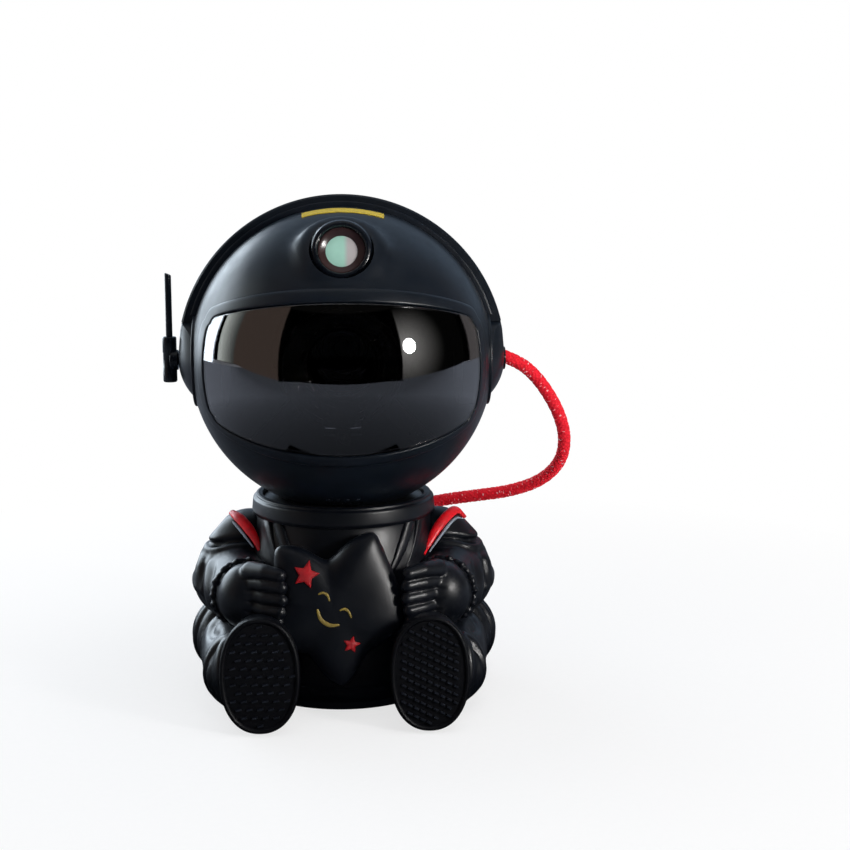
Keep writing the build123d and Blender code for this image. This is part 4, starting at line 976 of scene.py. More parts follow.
def crown_label():
    """Plain yellow strip in front of the band."""
    rows = (-16.6, -14.4, -12.2, -10.0)
    section = [(y, HEAD_R - 0.1) for y in rows] + [(y, HEAD_R + 0.3) for y in reversed(rows)]
    start, length, steps = -16.4, 34.2, 24
    loops = []
    for step in range(steps + 1):
        x = start + length * step / steps
        loops.append([Vector((x, y, HEAD_Z + math.sqrt(radius ** 2 - x * x - y * y))) for y, radius in section])
    strip = outwards(bridged(loops), fill=True)
    smooth(strip, 40)
    finished(strip, "yellow_strip", "head", LABEL, ["crown_label"])


def lens_rings():
    """Barrel of the nebula projector as it shows through the visor, a broad dark rim in steps, and its lens."""
    place = (0, 0, HEAD_Z + 2.0)
    barrel = turned([
        (21.6, -52.0, 0), (23.5, -52.0, 0.6), (23.5, -38.0, 0), (17.5, -38.0, 0), (17.5, -14.15, 0),
        (13.9, -14.15, 0), (13.9, -10.35, 0), (12.6, -10.35, 0), (12.6, -33.0, 0), (14.6, -33.0, 0),
        (14.6, -39.0, 0), (15.4, -39.4, 0.3), (16.6, -39.4, 0), (17.0, -43.0, 0.3), (19.2, -43.4, 0.3),
        (19.4, -47.0, 0.3), (21.6, -47.4, 0.3), (21.6, -52.0, 0)], place, (0, 1, 0), steps=128)
    smooth(barrel, 32)
    finished(barrel, "nebula_barrel", "head", GLOSS_ABS, ["lens_barrel"])
    lens_r, rise, front = 14.5, 4.0, -41.0
    radius = (lens_r ** 2 + rise ** 2) / (2 * rise)
    dome = [(radius * math.sin(share), front + radius - radius * math.cos(share), 0)
            for share in np.linspace(0.0, math.asin(lens_r / radius), 24)]
    lens = turned([*dome, (lens_r, -33.0, 0), (0, -33.0, 0)], place, (0, 1, 0), steps=96)
    smooth(lens, 32)
    finished(lens, "nebula_lens", "head", LENS_GLASS, ["front_lens"])


# ---------------------------------------------------------------- body
TORSO = ((42.0, 3.7), (45.6, 10.0), (47.0, 18.0), (47.0, 27.0), (46.5, 36.0), (44.9, 47.0), (42.5, 58.0),
         (40.2, 68.0), (38.4, 75.0), (38.0, 77.5))


def sided(side, *places):
    """Places given for the right side, on either side."""
    return [(side * place[0], *place[1:]) for place in places]


def both_sides(route, half_width, height):
    """One stroke and its mirror image."""
    return [(sided(side, *route), half_width, height) for side in (RIGHT, LEFT)]


def torso():
    """Both halves of the suit's trunk, with straps, folds and the backpack."""
    skin = smooth_route(TORSO, 9)
    corners = [(0, 3.7, 0), *[(radius, height, 0) for radius, height in skin],
               (35.2, 77.5, 0), (35.2, 72.5, 0), (0, 72.5, 0)]
    trunk = turned(corners, (0, 0, 0), (0, 0, 1), steps=240)
    rear = trunk.copy()
    rear.data = trunk.data.copy()
    bpy.context.scene.collection.objects.link(rear)
    cut_flat(trunk, (0, 0, 0), (0, 1, 0))
    sculpt(trunk, "front", [*both_sides([(33.5, 77.0), (30.0, 69.0), (28.0, 62.0)], 1.8, 0.8),
                            ([(-30.0, 12.0), (0.0, 9.5), (30.0, 12.0)], 1.1, -0.6)])
    smooth(trunk, 40)
    finished(trunk, "suit_trunk_front", "torso", SUIT_ABS, ["suit_front"])
    straps = []
    for side in (LEFT, RIGHT):
        for wide, high, start, turn in ((5.2, 1.3, 46.5, -13.0), (1.9, 1.1, 55.0, -12.0)):
            route = []
            for height in (77.4, 74.0, 70.0, 66.0, 62.0, 58.0):
                angle = math.radians(start + turn * (77.4 - height) / 13.0)
                radius = 38.15 + (77.4 - height) * 0.215
                route.append((radius * math.sin(angle), -radius * math.cos(angle), height))
            straps.append(band_along(sided(side, *route), wide, high, Vector((0, 0, 68)), (0.0, 0.4)))
    finished(joined(straps), "suit_straps", "torso", SUIT_ABS)
    cut_flat(rear, (0, 0, 0), (0, -1, 0))
    sculpt(rear, "back", [
        ([(38.0, 20.0), (30.0, 15.0), (10.0, 12.5), (-10.0, 12.5), (-30.0, 15.0), (-38.0, 20.0)], 1.6, 1.0),
        *both_sides([(40.0, 30.0), (36.0, 36.0), (34.0, 46.0)], 1.5, -0.9),
        *both_sides([(31.0, 76.0), (33.0, 66.0), (36.0, 56.0)], 1.2, -0.8)])
    combine(rear, backpack(), "UNION")
    smooth(rear, 40)
    finished(rear, "suit_trunk_rear", "torso", SUIT_ABS, ["suit_rear"])


def rounded_box(low, high, rounding, segments=5):
    """Box between two corners, with all its edges rounded."""
    bpy.ops.object.select_all(action="DESELECT")
    size = [b - a for a, b in zip(low, high)]
    middle = [(a + b) / 2 for a, b in zip(low, high)]
    bpy.ops.mesh.primitive_cube_add(size=1, location=point(middle), scale=point(size))
    box = settle(bpy.context.object)
    return modify(box, "BEVEL", width=rounding * MM, segments=segments, limit_method="NONE")


def backpack():
    """Life-support pack moulded on the back: a box with two pressed panels, ribs and a lower pouch."""
    pack = rounded_box((-25, 30, 24), (25, 53.4, 76), 5.5)
    for side in (LEFT, RIGHT):
        panel = rounded_box((side * 12.5 - 9.0, 52.0, 48), (side * 12.5 + 9.0, 55.0, 71.5), 1.3, 3)
        combine(pack, panel, "UNION")
    pouch = rounded_box((-17, 49, 28.5), (17, 55.0, 43.5), 2.4, 4)
    combine(pack, pouch, "UNION")
    for row in range(3):
        groove = rounded_box((-13, 54.3, 31.5 + 3.8 * row), (13, 57.0, 32.9 + 3.8 * row), 0.4, 2)
        combine(pack, groove, "DIFFERENCE")
    return pack


def collar():
    """Neck ring: a broad band, a dark groove and a thinner lip."""
    ring = turned([
        (35.2, 77.0, 0), (38.2, 77.0, 0.3), (39.2, 77.4, 0.4), (39.8, 78.8, 1.2), (39.3, 84.0, 1.2),
        (38.3, 84.6, 0.2), (38.1, 84.8, 0.2), (38.0, 85.5, 0.4), (37.0, 85.9, 0.4), (35.2, 85.6, 0.3),
        (35.2, 77.0, 0)], (0, 0, 0), (0, 0, 1), steps=192)
    smooth(ring, 32)
    finished(ring, "neck_collar", "torso", SUIT_ABS, ["collar_ring"])


def neck_dish():
    """Dish that the head turns in, with its stem."""
    ball_r = HEAD_R + 0.3
    arc = [(radius, HEAD_Z - math.sqrt(ball_r ** 2 - radius ** 2), 0)
           for radius in np.linspace(28.0, 12.1, 14)]
    dish = turned([(0, 57.5, 0), (8.0, 57.5, 0), (8.0, 72.55, 0), (34.6, 72.55, 0.3), (34.6, 83.9, 0.5),
                   (28.4, 84.6, 0.3), *arc, (12.1, 75.0, 0), (0, 75.0, 0)], (0, 0, 0), (0, 0, 1), steps=144)
    smooth(dish, 32)
    finished(dish, "neck_cup", "neck", INNER_ABS, ["neck_dish"])


ARM_FOLDS = (   # as seen from the front, on the right side
    ([(38.0, 67.6), (44.0, 67.6), (52.0, 66.8), (60.5, 63.6)], 0.9, -1.9),
    ([(40.0, 65.0), (48.0, 64.6), (57.0, 62.6)], 1.6, 0.7),
    ([(45.0, 75.0), (51.0, 73.4), (57.0, 69.6)], 1.8, 0.6),
    ([(59.0, 60.5), (60.8, 54.0), (60.4, 46.0), (57.6, 39.5)], 0.9, -1.1),
    ([(56.8, 60.0), (58.4, 54.0), (58.2, 47.0), (56.0, 40.5)], 1.1, 0.9),
    ([(54.6, 59.0), (56.4, 53.0), (56.2, 47.0), (54.0, 41.0)], 0.8, -0.9),
    ([(62.4, 57.5), (63.8, 50.0), (62.4, 43.0)], 1.1, 0.7),
)
ARM_SIDE_FOLDS = (   # as seen from the side: (y, z)
    ([(14.0, 67.0), (4.0, 65.0), (-6.0, 64.6), (-14.0, 65.4)], 1.0, -1.9),
    ([(15.0, 56.0), (5.0, 53.0), (-3.0, 47.0), (-7.0, 40.0)], 1.3, -1.3),
    ([(10.0, 46.0), (3.0, 43.0), (-2.0, 36.0)], 1.2, -1.0),
    ([(12.0, 61.0), (2.0, 59.0), (-8.0, 58.0), (-17.0, 56.0)], 1.7, 0.8),
    ([(-15.0, 59.0), (-18.0, 52.0), (-18.0, 42.0)], 1.0, -0.9),
    ([(6.0, 50.0), (-3.0, 50.0), (-12.0, 47.0), (-20.0, 44.0)], 1.7, 0.7),
)
CUFF_MIDDLE = (41.6, -31.0, 48.6)
CUFF_AXIS = (-0.34, -0.93, 0.10)


def cuff(side):
    """Gathered cuff: a ring whose thickness ripples round it."""
    centre = Vector(sided(side, CUFF_MIDDLE)[0])
    axis = Vector((side * CUFF_AXIS[0], *CUFF_AXIS[1:])).normalized()
    across = axis.cross(Vector((0, 0, 1))).normalized()
    up = across.cross(axis)
    loops = []
    for step in range(160):
        angle = 2 * math.pi * step / 160
        ripple = 0.4 * math.sin(15 * angle + 0.9 * math.sin(4 * angle)) + 0.3 * math.sin(29 * angle + 1.0)
        outward = across * math.cos(angle) + up * math.sin(angle)
        loop = []
        for corner in range(14):
            turn = 2 * math.pi * corner / 14
            thick = 1.35 + 0.4 * ripple
            spot = outward * (13.6 + 0.4 * ripple + thick * math.cos(turn)) + axis * (
                thick * 1.15 * math.sin(turn) + 0.5 * ripple)
            loop.append(centre + spot)
        loops.append(loop)
    return bridged(loops, closed=True)


def arm(side):
    """Puffed sleeve with its folds, a gathered cuff, and a gloved hand on the star's edge."""
    sleeve = fused([
        limb(*sided(side, (41.0, 0.5, 60.8), (46.5, -2.0, 57.0)), 17.0, 15.4),
        ball(*sided(side, (47.6, -5.0, 48.2)), 17.8, stretch=(1.0, 1.0, 0.95)),
        limb(*sided(side, (47.6, -6.0, 47.5), (42.5, -27.0, 48.6)), 16.8, 14.4),
        ball(*sided(side, (35.0, 1.0, 66.0)), 11.5),
    ], 0.75, 6)
    sculpt(sleeve, "front", [(sided(side, *route), wide, high) for route, wide, high in ARM_FOLDS])
    sculpt(sleeve, "right" if side == RIGHT else "left", ARM_SIDE_FOLDS)
    sculpt(sleeve, "back", [
        (sided(side, (34.0, 62.0), (44.0, 60.0), (56.0, 62.0)), 1.3, -1.3),
        (sided(side, (44.0, 38.0), (52.0, 44.0), (60.0, 47.0)), 1.4, -1.1),
        (sided(side, (40.0, 50.0), (50.0, 52.0), (60.0, 54.0)), 2.0, 0.8),
    ])
    crumple(sleeve, 15.0, 0.3, 3.0 + side)
    smooth(sleeve)
    name = "left" if side == LEFT else "right"
    finished(sleeve, name + "_sleeve", "torso", SUIT_ABS, [name + "_arm"])
    ring = smooth(cuff(side))
    finished(ring, name + "_cuff", "torso", SUIT_ABS)
    hand = glove(side)
    finished(hand, name + "_glove", "torso", SUIT_ABS)


FINGERS = ((62.6, 0.6), (57.4, 0.0), (52.2, 0.0), (47.2, 0.8))    # height of each, and how far it stays back


def glove(side):
    """Padded glove: a round back that runs out into four fingers over the star's edge, and a thumb below."""
    parts = [
        ball(*sided(side, (39.6, -38.6, 49.4)), 13.0, stretch=(0.98, 0.93, 1.08)),
        limb(*sided(side, (43.0, -30.0, 47.5), (40.5, -37.0, 49.0)), 12.2, 12.4),
    ]
    for height, back in FINGERS:
        knuckle, middle, tip = sided(side, (38.0, -44.2, 0.86 * height + 7.4), (31.8, -51.2, height),
                                     (25.4 + back, -55.2, height - 0.3))
        parts.append(limb(knuckle, middle, 4.4, 3.3))
        parts.append(limb(middle, tip, 3.3, 2.75))
    parts.append(limb(*sided(side, (37.5, -45.0, 42.0), (31.5, -52.0, 41.9)), 4.3, 3.4))
    parts.append(limb(*sided(side, (31.5, -52.0, 41.9), (27.0, -55.4, 42.8)), 3.4, 2.7))
    hand = fused(parts, 0.5, 12)
    sculpt(hand, "front", [
        (sided(side, (41.0, 0.8 * gap + 10.8), (34.0, gap), (25.0, gap - 0.2)), 0.55, -0.55)
        for gap in (60.0, 54.8, 49.7, 44.6)])
    return smooth(hand)


def band_along(route, width, height, centre, taper):
    """Rounded band along a route, lying on the skin round centre. taper is how far each end narrows."""
    points = spline_points(route)[::6]
    loops = []
    for number, place in enumerate(points):
        way = (points[min(number + 1, len(points) - 1)] - points[max(number - 1, 0)]).normalized()
        out = place / MM - centre
        out = (out - way * out.dot(way)).normalized()
        across = way.cross(out)
        share = number / (len(points) - 1)
        scale = min(1.0, 1 - taper[0] * (1 - 5 * share), 1 - taper[1] * (1 - 2.2 * (1 - share)))
        loops.append([place / MM + scale * (across * (width / 2 * math.cos(math.radians(turn)))
                                            + out * (height * math.sin(math.radians(turn))))
                      for turn in range(0, 360, 20)])
    return smooth(outwards(bridged(loops), fill=True), 60)


def shoulder_piping(side):
    """Red piping over the shoulder and down to the chest, and a pale raised line along its lower edge, a
    painted highlight of that edge.
    """
    centre = Vector(sided(side, (43.0, 1.0, 60.0))[0])
    red = [(46.2, -7.0, 76.6), (42.6, -11.6, 74.2), (39.2, -15.4, 70.6), (36.5, -18.4, 66.4),
           (35.5, -19.8, 63.6)]
    pale = [(47.4, -8.4, 73.6), (44.0, -12.8, 71.0), (41.0, -16.2, 67.8), (38.2, -18.8, 64.6)]
    if side == RIGHT:
        red = [(53.0, -1.5, 73.2), (50.6, 0.5, 76.0), (48.6, -3.0, 77.2), *red[:-1], (34.4, -20.6, 63.4),
               (33.4, -24.4, 62.0)]
        pale = [(52.4, -3.0, 72.8), (49.8, -5.2, 74.0), *pale, (36.0, -21.6, 62.4)]
    else:
        red = [(48.6, -2.5, 77.0), *red]
        pale = [(49.6, -4.2, 74.4), *pale]
    return (band_along(sided(side, *red), 4.6, 1.5, centre, (0.35, 0.55)),
            band_along(sided(side, *pale), 1.3, 0.9, centre, (0.5, 0.5)))


LEG_FOLDS = (   # as seen from the front, on the right side
    ([(53.0, 33.0), (55.5, 24.0), (55.0, 14.0), (51.5, 5.0)], 1.5, -1.9),
    ([(57.5, 31.0), (59.5, 22.0), (59.0, 13.0), (56.0, 6.0)], 1.3, 1.1),
    ([(49.5, 34.5), (51.5, 27.0), (51.5, 17.0), (49.0, 7.0)], 1.2, 1.0),
    ([(61.0, 28.0), (62.5, 20.0), (61.0, 11.0)], 1.1, -1.0),
    ([(44.0, 37.5), (50.0, 36.5), (56.0, 33.5)], 1.0, -0.9),
)
LEG_SIDE_FOLDS = (   # as seen from the side: (y, z)
    ([(12.0, 36.0), (8.0, 28.0), (8.0, 18.0), (11.0, 8.0)], 1.4, -1.5),
    ([(6.0, 38.0), (2.0, 29.0), (2.0, 18.0), (5.0, 7.0)], 1.4, -1.5),
    ([(0.0, 38.0), (-4.0, 29.0), (-4.0, 18.0), (-1.0, 7.0)], 1.4, -1.5),
    ([(-7.0, 37.0), (-10.5, 29.0), (-11.0, 18.0), (-8.0, 7.0)], 1.3, -1.4),
    ([(-16.0, 33.0), (-24.0, 30.0), (-34.0, 31.0)], 1.6, -1.1),
    ([(-16.0, 20.0), (-27.0, 17.0), (-40.0, 19.0)], 1.8, -1.2),
    ([(-18.0, 10.0), (-28.0, 7.5), (-40.0, 8.0)], 1.6, -1.0),
    ([(-43.0, 34.0), (-45.0, 22.0), (-44.0, 8.0)], 1.3, -1.4),
)


def leg(side):
    """Trouser leg bent forward on the ground, ribbed at the hip, and the boot's upper."""
    thigh = fused([
        ball(*sided(side, (47.5, 4.0, 20.5)), 20.0, stretch=(1.02, 0.98, 0.97)),
        limb(*sided(side, (45.5, -8.0, 18.6), (42.0, -38.0, 18.0)), 18.0, 17.2),
        ball(*sided(side, (41.0, -40.0, 18.2)), 16.8, stretch=(1.08, 0.95, 1.05)),
    ], 0.8, 8)
    cut_flat(thigh, (0, 0, 0.4), (0, 0, -1))
    depth = 0.5 if side == LEFT else 0.8
    folds = [(sided(side, *route), wide, depth * high) for route, wide, high in LEG_FOLDS]
    sculpt(thigh, "front", folds)
    sculpt(thigh, "right" if side == RIGHT else "left", LEG_SIDE_FOLDS)
    crumple(thigh, 15.0, 0.25, 7.0 + side)
    smooth(thigh, 60)
    name = "left" if side == LEFT else "right"
    finished(thigh, name + "_trouser_leg", "torso", SUIT_ABS, [name + "_leg"])
    finished(boot(side), name + "_boot", "torso", SUIT_ABS)


def oval(width, height):
    """Outline of a sole: (across, up) places."""
    count, power = 96, 2.25
    places = []
    for number in range(count):
        angle = 2 * math.pi * number / count
        x, y = math.cos(angle), math.sin(angle)
        size = (abs(x) ** power + abs(y) ** power) ** (-1 / power)
        places.append((width * x * size, height * y * size))
    return places


def sole_place(side, across, up, out):
    """Place on a sole, out millimetres in front of the boot's front edge."""
    lean = math.radians(SOLE_LEAN)
    middle = Vector((side * SOLE_X, -63.9, SOLE_Z))
    return middle + Vector((across, -out * math.cos(lean) + up * math.sin(lean),
                            up * math.cos(lean) + out * math.sin(lean)))


def oval_solid(side, steps):
    """Solid whose sections are ovals: (half width, half height, how far in front of the boot's front)."""
    loops = [[sole_place(side, across, up, out) for across, up in oval(width, height)]
             for width, height, out in steps]
    return outwards(bridged(loops), fill=True)


def boot(side):
    """Boot's upper: swells from the ankle to the welt."""
    upper = oval_solid(side, [
        (2.0, 3.0, -26.0), (8.0, 12.0, -25.0), (12.8, 19.5, -21.0), (14.6, 22.0, -15.0), (15.2, 22.6, -8.0),
        (15.1, 22.6, -3.5), (14.7, 22.2, -1.2), (14.2, 21.7, -0.1), (6.0, 9.0, -0.1)])
    modify(upper, "SUBSURF", levels=1, render_levels=1)
    cut_flat(upper, (0, 0, 0.5), (0, 0, -1))
    return smooth(upper, 50)


def tread_bar(side, across, up, length, turn):
    """One raised bar of the tread, with sloping sides."""
    height, width = 0.8, 0.95
    angle = math.radians(turn)
    corners = []
    for out, shrink in ((3.6, 1.0), (4.2 + height, 0.55)):
        for x, z in ((-1, -1), (1, -1), (1, 1), (-1, 1)):
            dx = x * (length / 2 - (1 - shrink) * width / 2)
            dz = z * width / 2 * shrink
            corners.append(sole_place(side, across + dx * math.cos(angle) - dz * math.sin(angle),
                                      up + dx * math.sin(angle) + dz * math.cos(angle), out))
    faces = [(0, 1, 2, 3), (7, 6, 5, 4), (0, 4, 5, 1), (1, 5, 6, 2), (2, 6, 7, 3), (3, 7, 4, 0)]
    return corners, faces


def tread(side):
    """Bars of one tread: short staggered dashes on the left sole, broken slanting lines on the right one."""
    bars = []
    if side == LEFT:
        for row in range(-6, 7):
            for column in range(-4, 5):
                across = column * 4.3 + (2.15 if row % 2 else 0.0)
                bars.append((across, row * 3.35, 2.5, 14.0))
    else:
        slant = math.radians(-27.0)
        for row in range(-9, 10):
            for column in range(-10, 11):
                along, over = column * 2.9 + (1.45 if row % 2 else 0.0), row * 3.0
                bars.append((along * math.cos(slant) - over * math.sin(slant),
                             along * math.sin(slant) + over * math.cos(slant), 2.3, -27.0))
    corners, faces = [], []
    for across, up, length, turn in bars:
        if abs(across / 13.4) ** 2.2 + abs(up / 20.9) ** 2.2 > 0.94:
            continue
        bar_corners, bar_faces = tread_bar(side, across, up, length, turn)
        faces += [tuple(len(corners) + number for number in face) for face in bar_faces]
        corners += bar_corners
    return made_from(corners, faces)


def soles():
    """Both soles: a rounded welt, a sunk field and the tread."""
    steps = [(8.0, 12.0, 0.2), (15.4, 22.7, 0.2), (15.9, 23.2, 0.5), (16.1, 23.45, 1.2), (16.1, 23.45, 3.4),
             (15.9, 23.25, 4.3), (15.5, 22.85, 4.85), (15.0, 22.35, 5.0), (14.5, 21.85, 4.85),
             (14.1, 21.45, 4.3), (13.9, 21.2, 3.9), (8.0, 12.0, 3.9)]
    plates = [smooth(oval_solid(side, steps), 40) for side in (LEFT, RIGHT)]
    finished(joined(plates), "boot_soles", "torso", SOLE, ["soles"])
    finished(joined([tread(LEFT), tread(RIGHT)]), "sole_tread", "torso", TREAD_PAINTED_SHEEN)


STAR_LOBES = (62.0, 132.0, 204.0, 276.0, 348.0)     # angles of the five points
STAR_EDGE = (    # distance from the middle to the edge, by angle
    (-12, 29.5), (0, 28.8), (12, 28.4), (26, 28.4), (40, 29.6), (50, 32.0), (62, 36.2), (74, 29.5),
    (86, 22.5), (96, 19.6), (106, 22.0), (119, 29.5), (132, 35.0), (145, 29.0), (157, 24.0), (168, 21.5),
    (180, 23.5), (192, 28.5), (204, 32.5), (216, 28.0), (228, 23.5), (240, 21.0), (252, 23.5), (264, 28.5),
    (276, 33.0), (288, 28.5), (300, 24.0), (312, 22.5), (324, 24.5), (336, 27.5), (348, 29.5),
)
EDGE_ANGLES = np.arange(-12, 348)
EDGE_WEIGHTS = np.hanning(15)[1:-1] / np.hanning(15).sum()
EDGE_REACHES = np.interp(EDGE_ANGLES, *zip(*STAR_EDGE))
# the kinks of the table are evened out over six degrees each way
EDGE_REACHES = sum(weight * np.roll(EDGE_REACHES, step) for step, weight in zip(range(-6, 7), EDGE_WEIGHTS))


def star_reach(angle):
    """Distance from the star's middle to its edge, at an angle in degrees from the right."""
    return float(np.interp((angle + 12) % 360 - 12, EDGE_ANGLES, EDGE_REACHES))


def star():
    """Plump star: a ball drawn out to five lobes, each with a soft crest."""
    bpy.ops.object.select_all(action="DESELECT")
    bpy.ops.mesh.primitive_uv_sphere_add(segments=240, ring_count=120, radius=1.0)
    shape = bpy.context.object
    cos, sin = math.cos(math.radians(STAR_LEAN)), math.sin(math.radians(STAR_LEAN))
    for vertex in shape.data.vertices:
        x, y, z = vertex.co
        flat = math.hypot(x, y)
        angle = math.degrees(math.atan2(y, x))
        reach = star_reach(angle)
        off = min(abs((angle - lobe + 180) % 360 - 180) for lobe in STAR_LOBES)
        crest = math.cos(math.radians(off * 2.5)) ** 2 if off < 36 else 0
        front = z > 0
        thick = (8.0 + 0.5 * crest * flat) if front else 8.0
        high = math.copysign(abs(z) ** (0.85 if front else 0.5), z) * thick
        across = reach * flat ** 0.92 * math.cos(math.radians(angle))
        up = reach * flat ** 0.92 * math.sin(math.radians(angle))
        back_off = 7.6 - high
        spot = Vector((across, back_off * cos + up * sin, up * cos - back_off * sin))
        vertex.co = point(Vector(STAR_PLACE) + spot)
    modify(shape, "SMOOTH", factor=0.5, iterations=10)
    smooth(shape)
    finished(shape, "plush_star", "torso", SUIT_ABS, ["star"])
    return shape


def on_star(star_skin, across, up, lift):
    """Place lift millimetres over the star's front skin, where it is seen at (across, up) from the front."""
    start = point((across, -120, up))
    hit, place, normal, _ = star_skin.ray_cast(start, Vector((0, 1, 0)))
    return (place + normal * lift * MM) / MM if hit else Vector((across, STAR_PLACE[1], up))


def small_star(star_skin, x, z, outer, turn):
    """Little raised five-pointed star with a crown in its middle."""
    corners = [on_star(star_skin, x, z, 1.25)]
    for lift, scale in ((0.95, 0.72), (0.45, 1.0), (-0.4, 1.02)):
        for number in range(10):
            radius = outer * scale * (1.0 if number % 2 == 0 else 0.5)
            angle = math.radians(90 + turn + 36 * number)
            place = (x + radius * math.cos(angle), z + radius * math.sin(angle))
            corners.append(on_star(star_skin, *place, lift))
    faces = [(0, 1 + number, 1 + (number + 1) % 10) for number in range(10)]
    for ring in (0, 1):
        for number in range(10):
            a, b = 1 + ring * 10 + number, 1 + ring * 10 + (number + 1) % 10
            faces.append((a, a + 10, b + 10, b))
    faces.append(tuple(range(21, 31)))
    badge = outwards(made_from(corners, faces))
    return modify(badge, "BEVEL", width=0.18 * MM, segments=2, limit_method="ANGLE",
                  angle_limit=math.radians(25))


def painted_stroke(star_skin, route, widest):
    """Raised stroke over the star's skin, thin at its ends."""
    line = smooth_route(route, 10)
    loops = []
    for number, (x, z) in enumerate(line):
        share = number / (len(line) - 1)
        half = widest / 2 * (0.45 + 0.55 * math.sin(math.pi * share) ** 0.8)
        ahead = line[min(number + 1, len(line) - 1)] - line[max(number - 1, 0)]
        ahead = ahead / np.hypot(*ahead)
        side = np.array((-ahead[1], ahead[0]))
        loop = []
        for turn in range(0, 360, 30):
            over = half * math.cos(math.radians(turn))
            lift = 0.42 * math.sin(math.radians(turn))
            loop.append(on_star(star_skin, x + side[0] * over, z + side[1] * over, lift))
        loops.append(loop)
    return outwards(bridged(loops), fill=True)


def star_details(star_skin):
    """Two little red stars, sleeping eyes and a smile."""
    badges = joined([small_star(star_skin, -15.5, 62.3, 5.5, -15.0),
                     small_star(star_skin, 2.6, 33.8, 3.6, -14.0)])
    smooth(badges, 30)
    finished(badges, "little_stars", "torso", DEEP_RED_LACQUER, ["star_badges"])
    strokes = joined([
        painted_stroke(star_skin, [(-10.6, 54.6), (-8.6, 55.2), (-6.8, 54.0), (-6.1, 51.8)], 1.1),
        painted_stroke(star_skin, [(-2.0, 48.0), (0.0, 48.6), (1.7, 47.4), (2.6, 45.0)], 1.1),
        painted_stroke(star_skin, [(-11.0, 48.6), (-9.6, 44.6), (-6.3, 42.2), (-2.2, 42.2)], 1.7),
    ])
    smooth(strokes, 40)
    finished(strokes, "sleeping_face", "torso", GOLD_LACQUER, ["star_face"])


# ---------------------------------------------------------------- CAD nodes that stay
NODE_FINISH = {
    "base_pad": PAD, "base_plate": SATIN_ABS, "base_screws": ZINC_STEEL, "ballast": ZINC_STEEL,
    "hose_gland": GLOSS_ABS, "neck_magnet": NICKEL, "stem_clip": ZINC_STEEL, "head_screws": ZINC_STEEL,
    "control_plate": SATIN_ABS, "main_board": BOARD, "board_parts": CASE_EPOXY, "usb_socket": ZINC_STEEL,
    "keeper_plate": ZINC_STEEL, "laser_module": BRASS, "grating_motor": ZINC_STEEL,
    "ripple_motor": ZINC_STEEL, "module_frame": INNER_ABS, "lamp_tube": INNER_ABS,
    "condenser_lens": LENS_GLASS, "led_board": ALUMINIUM, "heat_sink": ALUMINIUM,
    "ripple_wheel": CLEAR_ACRYLIC, "ripple_pinion": ACETAL, "grating_wheel": ACETAL, "grating_pinion": ACETAL,
    "power_button": KEY_ABS, "nebula_button": KEY_ABS, "laser_button": KEY_ABS,
}


def finish_nodes():
    """Gives the CAD nodes that no piece replaces their finishes."""
    for name, material in NODE_FINISH.items():
        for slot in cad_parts[name].material_slots:
            slot.material = material


# ---------------------------------------------------------------- studio
def emitter(name, colour, strength, axis=None, fade=()):
    """Finish of a board that glows. fade gives two distances, in millimetres, along an axis or from a place,
    and the glow at each."""
    material = bpy.data.materials.new(name)
    material.use_nodes = True
    tree = material.node_tree
    tree.nodes.clear()
    if axis:
        place = node(tree, "TexCoord", {}).outputs["Object"]
        if isinstance(axis, str):
            along = node(tree, "SeparateXYZ", {"Vector": place}).outputs[axis]
        else:
            along = node(tree, "VectorMath", {0: place, 1: point(axis)}, operation="DISTANCE").outputs["Value"]
        start, end, first, last = fade
        root = node(tree, "MapRange", {"Value": along, "From Min": start * MM, "From Max": end * MM,
                                       "To Min": first ** 0.5, "To Max": last ** 0.5}).outputs[0]
        strength = node(tree, "Math", {0: root, 1: 2.0}, operation="POWER").outputs[0]
    glow = node(tree, "Emission", {"Color": linear(colour), "Strength": strength})
    out = node(tree, "OutputMaterial", {})
    tree.links.new(glow.outputs[0], out.inputs[0])
    return material


def put_up(board, material):
    """Lets a board show in reflections alone."""
    board.data.materials.append(material)
    board.visible_camera = board.visible_shadow = board.visible_diffuse = False


def card(name, start, end, low, high, colour, strength, radius=830.0, axis=None, fade=()):
    """Curved board of the studio, from one azimuth to another, in degrees to the right of the camera. low is
    the height of its foot, or the two heights at the ends of a slanting foot."""
    corners, faces = [], []
    steps = 16
    low = low if isinstance(low, tuple) else (low, low)
    for step in range(steps + 1):
        angle = math.radians(start + (end - start) * step / steps)
        for height in (low[0] + (low[1] - low[0]) * step / steps, high):
            corners.append((radius * math.sin(angle), -radius * math.cos(angle), height))
    for step in range(steps):
        faces.append((2 * step, 2 * step + 1, 2 * step + 3, 2 * step + 2))
    put_up(made_from(corners, faces, name), emitter(name, colour, strength, axis, fade))


# glow of the floor near the piece and far from it, and the share of it that shows in front and behind
FLOOR_SHADES = (0.06, 0.36, 0.42, 1.0)
NO_GLOW = (0, 0, 0, 0)
MAT_HEIGHT = 0.4


def mat(name, left, right, near, far, shades):
    """Flat board that lies on the floor."""
    board = made_from([(left, near, MAT_HEIGHT), (right, near, MAT_HEIGHT),
                       (right, far, MAT_HEIGHT), (left, far, MAT_HEIGHT)], [(0, 1, 2, 3)], name)
    material = emitter(name, "#d3ddf0", 1.0, (0, 0, 0), (100, 430, shades[0], shades[1]))
    tree = material.node_tree
    glow = next(step for step in tree.nodes if step.type == "EMISSION").inputs["Strength"]
    place = node(tree, "TexCoord", {}).outputs["Object"]
    along = node(tree, "SeparateXYZ", {"Vector": place}).outputs["Y"]
    share = node(tree, "MapRange", {"Value": along, "From Min": -0.38, "From Max": 0.06,
                                    "To Min": shades[2], "To Max": shades[3]}).outputs[0]
    dimmed = node(tree, "Math", {0: glow.links[0].from_socket, 1: share}, operation="MULTIPLY")
    tree.links.new(dimmed.outputs[0], glow)
    put_up(board, material)


